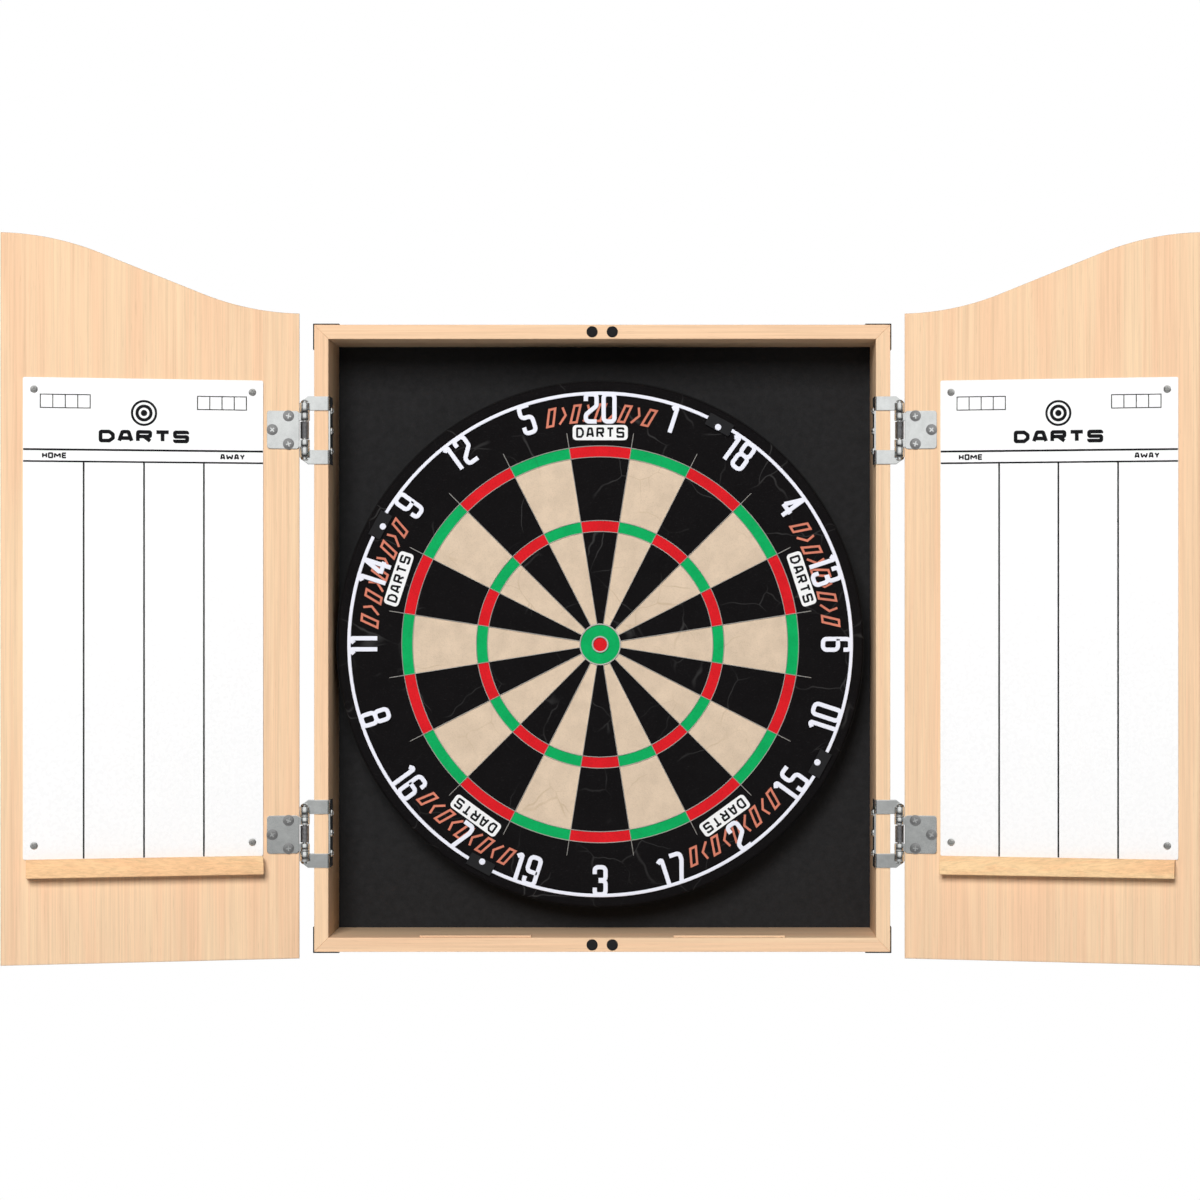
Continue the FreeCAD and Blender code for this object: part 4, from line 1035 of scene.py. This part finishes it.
class CABINET_OT_pen_ledges(PieceOperator, bpy.types.Operator):
    """The pen ledges: a bevelled strip with a shallow pen groove in its top."""

    bl_idname = "cabinet.pen_ledges"
    bl_label = "Pen ledges"

    # the section, in shares of how far the strip stands out and of how tall it is
    section = ((0, 0), (1, 0), (1, 0.52), (0.67, 1), (0.52, 1), (0.44, 0.84), (0.20, 0.84),
               (0.12, 1), (0, 1))
    corner = 0.8 * MM
    ease = 0.5 * MM

    def execute(self, context):
        for side in SIDES:
            door = Door(side)
            name = f"{side}_pen_ledge"
            low, high = door.box(name)
            corners = np.array(self.section) * (high - low)[[2, 1]] + low[[2, 1]]
            slab_piece(f"{name}_strip", name, door.body, "pine",
                       soft_corners(corners, self.corner, steps=3), (low[0], high[0]), self.ease,
                       door.place_along)
        return {"FINISHED"}


class CABINET_OT_hinges(PieceOperator, bpy.types.Operator):
    """The four hinges: frame leaves, door leaves, pins, closing springs and screws."""

    bl_idname = "cabinet.hinges"
    bl_label = "Hinges"

    gauge = 1.5 * MM
    # rolled eyes, and the stretches of the barrel that they take up on each side of its middle
    eye_outer = 4.2 * MM
    eye_inner = 2.0 * MM
    eye_gap = 0.10
    eye_ease = 0.35 * MM
    frame_eye = (14.5 * MM, 23.0 * MM)
    door_eye = (8.0 * MM, 14.2 * MM)
    # frame leaf
    arm_wide = 12.0 * MM
    arm_ease = 0.3 * MM
    chamfer = 4.5 * MM
    chamfer_length = 5.85 * MM
    roll = (3.3 * MM, 2.3 * MM)
    wing_ease = 0.2 * MM
    # door leaf
    plate_start = 4.8 * MM
    plate_corner = 2.6 * MM
    plate_ease = 0.3 * MM
    tab_start = 0.5 * MM
    tab_end = 5.4 * MM
    tab_ease = 0.15 * MM
    # pin and spring
    rod = 1.8 * MM
    pin_head = 1.2 * MM
    spring_wire = 0.52 * MM
    spring_turns = 13
    # screws: (distance from the axis, distance from the hinge's middle) in a door leaf
    door_screw_places = ((13.8 * MM, 11.7 * MM), (13.8 * MM, -11.7 * MM), (27.4 * MM, 0.0))
    door_screw_radius = 3.9 * MM
    seat = ((0.98, -0.2 * MM), (1.0, 0.14 * MM), (1.08, 0.2 * MM), (1.2, 0.02 * MM),
            (1.18, -0.2 * MM))
    wing_screw_depth = 11 * MM
    wing_screw_apart = 17 * MM

    def execute(self, context):
        for side, sign in SIDES.items():
            door = Door(side)
            for level in LEVELS:
                self.frame_leaf(door, sign, level)
                self.door_leaf(door, level)
                self.pin(door, level)
                self.spring(door, level)
            self.door_screws(door)
        self.frame_screws()
        return {"FINISHED"}

    def frame_leaf(self, door, sign, level):
        """Two arms that roll off the barrel over the frame's edge, and the wing between them.

        An arm's line is seen from above: from the barrel along the frame's front and round the
        bend. Its outer corner is cut off over the first stretch of the line.
        """
        name = f"hinge_frame_leaf_{door.side}_{level}"
        low, high = low_high(name)
        middle = (low[2] + high[2]) / 2
        reach_z = (high[2] - low[2]) / 2
        front = low_high("frame_top_rail")[0][1]
        wing_x = low[0] if sign > 0 else high[0]
        back = high[1]
        half = self.gauge / 2
        start = door.pivot[0] + sign * self.roll[0]
        line = soft_corners([
            (start, front + self.roll[1]),
            (start - sign * 0.7 * MM, front - half),
            (wing_x + sign * half, front - half),
            (wing_x + sign * half, back),
        ], self.sizes.bend, closed=False, steps=6)
        stop = start - sign * self.chamfer_length
        after = np.flatnonzero(sign * (stop - line[:, 0]) > 0)[0]
        line = np.insert(line, after, (stop, front - half), axis=0)
        run = np.abs(line[:, 0] - start)
        cut = self.chamfer * np.clip(1 - run / self.chamfer_length, 0, 1)
        section = soft_section(self.gauge, 0.0, self.arm_wide, self.arm_ease, steps=2)
        section = np.stack([
            np.broadcast_to(section[:, 0], (len(line), len(section))),
            cut[:, None] + section[:, 1] * (1 - cut / self.arm_wide)[:, None],
        ], -1)
        shells = Shells()
        for way in (1, -1):
            place = axes_place((0, 0, middle + way * reach_z), (1, 0, 0), (0, 1, 0), (0, 0, -way))
            ribbon(shells, line, section, place)
        inner_z = reach_z - self.arm_wide
        wing = rectangle(front + 0.4 * MM, back, -inner_z, inner_z)
        place = axes_place((wing_x, 0, middle), (0, 1, 0), (0, 0, 1), (sign, 0, 0))
        slab(shells, wing, 0.0, self.gauge, self.wing_ease, place, steps=2)
        for way in (1, -1):
            self.eye(shells, door.pivot, [middle + way * z for z in self.frame_eye],
                     np.array([-sign, 0.35, 0]))
        finish_piece(f"{name}_plate", shells, "cabinet", finish("nickel"),
                     (name,))

    def eye(self, shells, pivot, ends, seam):
        """A rolled eye: a sheet wound once round the pin, with a narrow gap where it closes.

        Its section is the arc between the outer and the inner radius, and its ends are eased.
        """
        begin = np.arctan2(seam[1], seam[0]) + self.eye_gap
        angle = np.linspace(begin, begin + 2 * np.pi - 2 * self.eye_gap, 40)
        outside = np.stack([np.cos(angle), np.sin(angle)], -1)
        section = np.concatenate([outside * self.eye_outer, outside[::-1] * self.eye_inner])
        slab(shells, section, min(ends), max(ends), self.eye_ease, upright(pivot), steps=2)

    def door_leaf(self, door, level):
        """The plate on the door with softened corners, and two eyes joined by short tabs."""
        name = f"hinge_door_leaf_{door.side}_{level}"
        low, high = door.box(name)
        middle = (low[1] + high[1]) / 2
        face = door.box(f"{door.side}_door_panel")[1][2]
        top = face + self.gauge
        outline = soft_corners(rectangle(self.plate_start, high[0], low[1], high[1]),
                               self.plate_corner, steps=6)
        shells = Shells()
        slab(shells, outline, face, top, self.plate_ease, door.place)
        for way in (1, -1):
            ends = [middle + way * z for z in self.door_eye]
            tab = rectangle(self.tab_start, self.tab_end, *ends)
            slab(shells, tab, face, top, self.tab_ease, door.place, steps=2)
            self.eye(shells, door.pivot, ends, door.u - 0.9 * door.out)
        finish_piece(f"{name}_plate", shells, door.body, finish("nickel"),
                     (name,))

    def pin(self, door, level):
        """A rod between two low heads with bevelled edges."""
        name = f"hinge_pin_{door.side}_{level}"
        low, high = low_high(name)
        head = (high[0] - low[0]) / 2
        rise = self.pin_head
        bevel = rise * 0.6
        half = [(0, 0), (head * 0.6, 0), (head, bevel), (head, rise), (self.rod, rise)]
        lower = [(radius, low[2] + z) for radius, z in half]
        upper = [(radius, high[2] - z) for radius, z in reversed(half)]
        shells = Shells()
        lathe(shells, lower + upper, upright(door.pivot), 40)
        finish_piece(f"{name}_rod", shells, "cabinet", finish("nickel"), (name,))

    def spring(self, door, level):
        """A close-wound coil: the wire's circle is carried along a helix round the pin."""
        name = f"hinge_spring_{door.side}_{level}"
        low, high = low_high(name)
        wire = self.spring_wire
        radius = (high[0] - low[0]) / 2 - wire
        along = np.linspace(0, 1, self.spring_turns * 28 + 1)
        angle = along * self.spring_turns * 2 * np.pi
        still = np.zeros_like(angle)
        radial = np.stack([np.cos(angle), np.sin(angle), still], -1)[:, None]
        level_z = low[2] + wire + along * (high[2] - low[2] - 2 * wire)
        rise = np.stack([still, still, level_z], -1)[:, None]
        around = full_turn(8)[None, :, None]
        ring = np.cos(around) * radial + np.sin(around) * np.array([0, 0, 1.0])
        points = upright(door.pivot)(radial * radius + rise + ring * wire)
        shells = Shells()
        shells.tube(points)
        finish_piece(f"{name}_coil", shells, "cabinet", finish("spring"), (name,))

    def door_screws(self, door):
        """Countersunk screws in the door leaves, each in a dished seat."""
        face = door.box(f"{door.side}_door_panel")[1][2] + self.gauge
        radius = self.door_screw_radius
        shells = Shells()
        turn = 0.2
        for level in LEVELS:
            low, high = door.box(f"hinge_door_leaf_{door.side}_{level}")
            middle = (low[1] + high[1]) / 2
            for u, z in self.door_screw_places:
                place = door.turned(u, middle + z, face, turn)
                screw_head(shells, place, radius, 0.28 * MM, 0.65 * MM, sunk=0.1 * MM)
                lathe(shells, np.array(self.seat) * (radius, 1), place, closed=True)
                turn += 1.1
        finish_piece(f"{door.side}_hinge_door_screw_heads", shells, door.body,
                     finish("screw"), (f"{door.side}_hinge_door_screws",))

    def frame_screws(self):
        """Pan-head screws in the wings, facing into the cabinet."""
        shells = Shells()
        turn = 0.0
        y = low_high("frame_top_rail")[0][1] + self.wing_screw_depth
        for side, sign in SIDES.items():
            for level in LEVELS:
                low, high = low_high(f"hinge_frame_leaf_{side}_{level}")
                middle = (low[2] + high[2]) / 2
                wing_x = low[0] if sign > 0 else high[0]
                for share in (-1, 0, 1):
                    origin = (wing_x, y, middle + share * self.wing_screw_apart)
                    across = (0, np.cos(turn), np.sin(turn))
                    along = (0, -np.sin(turn), np.cos(turn))
                    place = axes_place(origin, across, along, (-sign, 0, 0))
                    screw_head(shells, place, 3.4 * MM, 1.85 * MM, 1.1 * MM)
                    turn += 0.8
        finish_piece("hinge_frame_screw_heads", shells, "cabinet",
                     finish("nickel"), ("hinge_frame_screws",))


class CABINET_OT_sisal(PieceOperator, bpy.types.Operator):
    """The sisal disc in its dyed beds, with its band and backing."""

    bl_idname = "cabinet.sisal"
    bl_label = "Sisal disc"

    edge = 3 * MM
    # rows of faces between one border of the beds and the next, and columns in a sector
    rows = (3, 3, 16, 2, 12, 2, 10)
    columns = 12

    def execute(self, context):
        sizes = self.sizes
        low, high = low_high("sisal_disc")
        radius = (high[0] - low[0]) / 2
        face, back = -low[1], -high[1]
        inner = radius - self.edge
        borders = [0.0, sizes.inner_bull, sizes.bull, sizes.treble_ring - sizes.ring_width,
                   sizes.treble_ring, sizes.double_ring - sizes.ring_width, sizes.double_ring,
                   inner]
        reach = np.concatenate([
            np.linspace(first, last, count, endpoint=False)
            for first, last, count in zip(borders, borders[1:], self.rows)
        ] + [borders[-1:]])
        angle = full_turn(self.columns * len(NUMBERS)) - SECTOR / 2
        shells = Shells()

        def sheet(profile, paint):
            """Carries (radius, height) points round the board."""
            r, a = np.meshgrid(profile[:, 0], angle, indexing="ij")
            tall = np.broadcast_to(profile[:, 1:], r.shape)
            points = np.stack([r * np.sin(a), r * np.cos(a), tall], -1)
            shells.grid(on_board()(points), wrap_columns=True, paint=paint)

        # paints: 0 black, 1 cream, 2 red, 3 green
        light = np.arange(len(angle)) // self.columns % 2
        same = np.ones_like(light)
        zones = np.stack([same * 2, same * 3, light, light + 2, light, light + 2, same * 0])
        paint = np.repeat(zones, self.rows, axis=0).reshape(-1)
        sheet(np.stack([reach, np.full(len(reach), face)], -1), paint)
        turn = np.linspace(0, np.pi / 2, 7)
        rounded = np.stack([inner + self.edge * np.sin(turn),
                            face - self.edge + self.edge * np.cos(turn)], -1)
        sheet(np.concatenate([rounded, [(radius, back), (0, back)]]), 0)
        finish_piece("sisal_beds", shells, "dartboard",
                     finish("black", "cream", "red", "green"), ("sisal_disc",))
        for node, name in (("rim_band", "band"), ("backing_board", "fibreboard"),
                           ("rear_pads", "rubber"), ("centre_screw", "zinc")):
            repaint(node, name)
        return {"FINISHED"}


class CABINET_OT_wires(PieceOperator, bpy.types.Operator):
    """The scoring wires and the two bull rings."""

    bl_idname = "cabinet.wires"
    bl_label = "Scoring wires"

    root = 0.6 * MM
    ring_flatness = 0.85
    spoke_end = 183 * MM
    # where a spoke bends down into the sisal: distances from its end, and depths in wire heights
    dive = ((6 * MM, 0.0), (3 * MM, 0.25), (1 * MM, 0.8), (0.0, 1.35))
    # width and height of the bull rings' steel
    bull_steel = (1.2 * MM, 1.4 * MM)
    inner_bull_steel = (1.4 * MM, 2.0 * MM)
    bull_root = 0.5 * MM

    def execute(self, context):
        sizes = self.sizes
        low, high = low_high("wire_spider")
        face = -high[1]
        rise = high[1] - low[1]
        half = sizes.wire / 2
        angle = np.linspace(0, np.pi, 7)
        crown = np.stack([-half * np.cos(angle), rise * np.sin(angle)], -1)
        section = np.concatenate([crown, [(half, -self.root), (-half, -self.root)]])
        shells = Shells()
        for outer in (sizes.double_ring, sizes.treble_ring):
            for radius in (outer, outer - sizes.ring_width):
                profile = section * (1, self.ring_flatness) + (radius, face)
                lathe(shells, profile, on_board(), sizes.round_steps, closed=True)
        dive = np.array(self.dive)
        along = np.concatenate([[sizes.bull], self.spoke_end - dive[:, 0]])
        sink = np.concatenate([[0.0], dive[:, 1]]) * rise
        across = np.broadcast_to(section[:, 0], (len(along), len(section)))
        outward = np.broadcast_to(along[:, None], across.shape)
        height = face + section[:, 1] - sink[:, None]
        spoke = np.stack([across, outward, height], -1)
        for number in range(len(NUMBERS)):
            shells.tube(on_board((number + 0.5) * SECTOR)(spoke))
        finish_piece("scoring_wires", shells, "dartboard", finish("wire"),
                     ("wire_spider",))
        for name, radius, (wide, tall) in (("bull_ring", sizes.bull, self.bull_steel),
                                           ("inner_bull_ring", sizes.inner_bull,
                                            self.inner_bull_steel)):
            corners = rectangle(radius - wide / 2, radius + wide / 2, face - self.bull_root,
                                face + tall)
            shells = Shells()
            lathe(shells, soft_corners(corners, 0.5 * MM, steps=4), on_board(), 96, closed=True)
            finish_piece(f"{name}_steel", shells, "dartboard", finish("wire"), (name,))
        return {"FINISHED"}


class CABINET_OT_number_ring(PieceOperator, bpy.types.Operator):
    """The white wire ring with its twenty numbers."""

    bl_idname = "cabinet.number_ring"
    bl_label = "Number ring"

    ring_wide = 3 * MM
    ring_corner = 0.6 * MM
    digit_corner = 0.5 * MM
    digit_inset = 0.5 * MM
    step = 0.04 * MM

    def execute(self, context):
        sizes = self.sizes
        low, high = low_high("number_ring")
        outer = (high[0] - low[0]) / 2
        bottom, top = -high[1], -low[1]
        shells = Shells()
        section = soft_section(self.ring_wide, bottom, top, self.ring_corner)
        lathe(shells, section + (outer - self.ring_wide / 2, 0), on_board(), sizes.round_steps,
              closed=True)
        stroke = soft_section(sizes.digit_stroke, bottom, top - self.step, self.digit_corner)
        reach = outer - self.digit_inset - sizes.digit_tall / 2
        size = (sizes.digit_wide, sizes.digit_tall, sizes.digit_space)
        for number, value in enumerate(NUMBERS):
            way = -1 if value in HEAD_INWARD else 1
            place = on_board(number * SECTOR, reach, way=way)
            write(shells, str(value), size, stroke, sizes.digit_stroke * 0.85, place, self.step)
        finish_piece("number_ring_wire", shells, "dartboard", finish("ring"),
                     ("number_ring",))
        return {"FINISHED"}


class CABINET_OT_clips(PieceOperator, bpy.types.Operator):
    """Four moulded clips over the number ring, each held by a white pin."""

    bl_idname = "cabinet.clips"
    bl_label = "Ring clips"

    reach = 213 * MM
    long = 23 * MM
    wide = 11 * MM
    corner = 0.9 * MM
    ease = 0.35 * MM
    leg_wide = 1.2 * MM
    leg_deep = 3 * MM
    leg_ease = 0.2 * MM
    # the leg and the pin start a little under the plate's top
    under_top = 0.3 * MM
    pin_inset = 2.5 * MM
    pin_radius = 2.7 * MM

    def execute(self, context):
        face = -low_high("sisal_disc")[0][1]
        top = -low_high("number_ring_clips")[0][1]
        pin_top = -low_high("clip_pins")[0][1]
        under = -low_high("number_ring")[0][1] + 0.05 * MM
        half = self.wide / 2
        below = top - self.under_top
        plate = soft_corners(rectangle(-self.long / 2, self.long / 2, -half, half), self.corner)
        leg = rectangle(-self.long / 2, self.long / 2, half - self.leg_wide, half)
        radius = self.pin_radius
        rise = pin_top - top
        profile = [(0, below), (radius, below), (radius, top + rise * 0.4),
                   (radius * 0.86, top + rise * 0.9), (radius * 0.45, pin_top),
                   (radius * 0.3, pin_top - 0.25 * MM), (0, pin_top - 0.3 * MM)]
        plates = Shells()
        pins = Shells()
        for number in range(4):
            turn = np.radians(self.sizes.clip_turn + 90 * number)
            place = on_board(turn, self.reach)
            slab(plates, plate, under, top, self.ease, place)
            slab(plates, leg, face - self.leg_deep, below, self.leg_ease, place, steps=2)
            lathe(pins, profile, on_board(turn, self.reach - self.pin_inset), 32)
        finish_piece("number_ring_clip_plates", plates, "dartboard",
                     finish("clip"), ("number_ring_clips",))
        finish_piece("clip_pin_heads", pins, "dartboard", finish("ring"),
                     ("clip_pins",))
        return {"FINISHED"}


class CABINET_OT_border_marks(PieceOperator, bpy.types.Operator):
    """Plain printed marks round the border: coral blocks and arrowheads, and a white tablet."""

    bl_idname = "cabinet.border_marks"
    bl_label = "Border marks"

    groups = 5
    # coral marks: four on each side of the middle one
    marks_aside = 4
    mark_turn = np.radians(3.05)
    mark_low = 190.5 * MM
    mark_high = 204.5 * MM
    mark_stroke = 1.9 * MM
    lean = 2.4 * MM
    block_half = 2.6 * MM
    arrow_half = 2.0 * MM
    # tablets
    tablet_reach = 180.5 * MM
    tablet_half = (23.5 * MM, 6.5 * MM)
    tablet_corner = 3.2 * MM
    letter_size = (6.8 * MM, 9.0 * MM, 1.8 * MM)
    letter_stroke = 1.8 * MM
    letter_corner = 0.5 * MM

    def execute(self, context):
        face = -low_high("sisal_disc")[0][1]
        ink = self.sizes.ink
        stroke = soft_section(self.mark_stroke, face, face + ink, ink * 0.2, steps=1)
        letter = soft_section(self.letter_stroke, 0.0, ink, ink * 0.2, steps=1)
        wide, tall = self.tablet_half
        tablet = soft_corners(rectangle(-wide, wide, -tall, tall), self.tablet_corner)
        coral = Shells()
        tablets = Shells()
        for group in range(self.groups):
            turn = group * 2 * np.pi / self.groups
            for number in range(-self.marks_aside, self.marks_aside + 1):
                place = on_board(turn + number * self.mark_turn)
                block = number % 2 == 0
                ribbon(coral, self.block() if block else self.arrow(), stroke, place, block)
            place = on_board(turn, self.tablet_reach)
            slab(tablets, tablet, face, face + ink, ink * 0.3, place, steps=1)
            place = on_board(turn, self.tablet_reach, face + ink * 0.9)
            write(tablets, "DARTS", self.letter_size, letter, self.letter_corner, place,
                  ink * 0.1, 1)
        finish_piece("border_blocks", coral, "dartboard", finish("coral"))
        finish_piece("border_tablets", tablets, "dartboard", finish("white_ink", "ink"))
        return {"FINISHED"}

    def block(self):
        """A leaning outline, whose top and bottom are level."""
        half, lean = self.block_half, self.lean
        low, high = self.mark_low, self.mark_high
        return np.array([(-half - lean, low), (half - lean, low), (half + lean, high),
                         (-half + lean, high)])

    def arrow(self):
        """A leaning arrowhead."""
        half, lean = self.arrow_half, self.lean
        low, high = self.mark_low, self.mark_high
        return np.array([(-half - lean, low), (half, (low + high) / 2), (-half + lean, high)])


class CABINET_OT_stage(PieceOperator, bpy.types.Operator):
    """The pale floor, the studio light and the camera."""

    bl_idname = "cabinet.stage"
    bl_label = "Floor, light and camera"

    # floor: its level, half its width, and how far it goes to the front and to the rear
    level = -1.45
    side = 7.0
    front = -9.0
    rear = 3.3
    floor_glow = 0.62
    dim = 0.004

    def execute(self, context):
        scene = bpy.context.scene
        scene.view_settings.view_transform = "Standard"
        self.make_floor()
        self.make_world(scene)
        self.make_light("key_light", (-0.46, -3.90, 1.45), 1.3, 196.0)
        self.make_light("rear_light", (0.0, 3.4, 1.6), 2.4, 80.0)
        self.make_camera(scene)
        return {"FINISHED"}

    def make_floor(self):
        """A pale sheet far below the cabinet; its own glow is only for the eye."""
        corners = rectangle(-self.side, self.side, self.front, self.rear)
        mesh = bpy.data.meshes.new("floor")
        mesh.from_pydata([(x, y, self.level) for x, y in corners], [], [(0, 1, 2, 3)])
        recipe = Recipe("pale_floor", Roughness=0.95, Specular_IOR_Level=0.0)
        recipe.paint((0.55, 0.55, 0.55, 1))
        recipe.feed(recipe.shader.inputs["Emission Color"], (1, 1, 1, 1))
        glow = recipe.sum("MULTIPLY", recipe.node("LightPath").outputs["Is Camera Ray"],
                          self.floor_glow)
        recipe.feed(recipe.shader.inputs["Emission Strength"], glow)
        mesh.materials.append(recipe.material)
        floor = bpy.data.objects.new("floor", mesh)
        bpy.context.scene.collection.objects.link(floor)

    def make_world(self, scene):
        """White to the eye, dim to matt surfaces, and banded in the shine of metal.

        The bands follow the sideways and upward parts of the direction of a shine, and the half
        behind the cabinet is dark, so that rods and rims get crisp light and dark edges.
        """
        world = bpy.data.worlds.new("studio")
        world.use_nodes = True
        nodes = Nodes(world.node_tree)
        background = nodes.tree.nodes["Background"]
        background.inputs["Color"].default_value = (1, 1, 1, 1)
        direction = nodes.node("SeparateXYZ", {
            "Vector": nodes.node("TexCoord").outputs["Generated"],
        }).outputs
        across = nodes.ramp(nodes.sum("ABSOLUTE", direction["X"], 0.0), (0.57, 1.0), (0.61, 0.0),
                            (0.75, 0.0), (0.79, 0.8), (0.87, 0.8), (0.91, 0.0))
        upward = nodes.ramp(nodes.sum("ADD", direction["Z"], 0.5), (0.38, 0.29), (0.56, 1.0))
        ahead = nodes.ramp(nodes.sum("ADD", direction["Y"], 0.5), (0.40, 1.0), (0.52, 0.06))
        shine = nodes.sum("MULTIPLY", nodes.sum("MULTIPLY", across, upward), ahead)
        path = nodes.node("LightPath").outputs
        glossy = nodes.sum("MULTIPLY", path["Is Glossy Ray"], shine)
        strength = nodes.sum("MAXIMUM", nodes.sum("ADD", glossy, self.dim),
                             path["Is Camera Ray"])
        nodes.feed(background.inputs["Strength"], strength)
        scene.world = world

    def make_light(self, name, place, size, power):
        data = bpy.data.lights.new(name, "AREA")
        data.shape = "SQUARE"
        data.size = size
        data.energy = power
        light = bpy.data.objects.new(name, data)
        bpy.context.scene.collection.objects.link(light)
        light.location = place
        light.visible_glossy = False
        aim = -light.location
        light.rotation_euler = aim.to_track_quat("-Z", "Y").to_euler()

    def make_camera(self, scene):
        """Straight in front, 2.5 m from the frame's front edge, a little right of the middle."""
        front = low_high("frame_top_rail")[0][1]
        data = bpy.data.cameras.new("camera")
        data.lens = 89.1
        data.sensor_width = 36.0
        data.shift_x = -0.0642
        data.shift_y = 0.0042
        camera = bpy.data.objects.new("camera", data)
        bpy.context.scene.collection.objects.link(camera)
        camera.location = (0.063, front - 2.5, 0.028)
        camera.rotation_euler = (np.pi / 2, 0.0, 0.0)
        scene.camera = camera


class CABINET_PT_pieces(bpy.types.Panel):
    """The buttons that build the cabinet, piece by piece."""

    bl_idname = "CABINET_PT_pieces"
    bl_label = "Dartboard cabinet"
    bl_space_type = "VIEW_3D"
    bl_region_type = "UI"
    bl_category = "Cabinet"

    def draw(self, context):
        for group in (context.scene.cabinet_sizes, context.scene.cabinet_colours):
            for name in group.bl_rna.properties.keys():
                if name not in ("rna_type", "name"):
                    self.layout.prop(group, name)
        for operator in OPERATORS:
            self.layout.operator(operator.bl_idname)


OPERATORS = (
    CABINET_OT_stage,
    CABINET_OT_frame,
    CABINET_OT_corner_plates,
    CABINET_OT_back,
    CABINET_OT_stops,
    CABINET_OT_doors,
    CABINET_OT_scoreboards,
    CABINET_OT_pen_ledges,
    CABINET_OT_hinges,
    CABINET_OT_sisal,
    CABINET_OT_wires,
    CABINET_OT_number_ring,
    CABINET_OT_clips,
    CABINET_OT_border_marks,
)
CLASSES = (CabinetSizes, CabinetColours) + OPERATORS + (CABINET_PT_pieces,)


def register():
    for item in CLASSES:
        bpy.utils.register_class(item)
    bpy.types.Scene.cabinet_sizes = PointerProperty(type=CabinetSizes)
    bpy.types.Scene.cabinet_colours = PointerProperty(type=CabinetColours)


def unregister():
    del bpy.types.Scene.cabinet_colours
    del bpy.types.Scene.cabinet_sizes
    for item in reversed(CLASSES):
        bpy.utils.unregister_class(item)


def main():
    """Registers the classes and builds every piece in order."""
    register()
    for operator in OPERATORS:
        group, name = operator.bl_idname.split(".")
        getattr(getattr(bpy.ops, group), name)()
    bpy.context.view_layer.update()


if __name__ == "__main__":
    main()
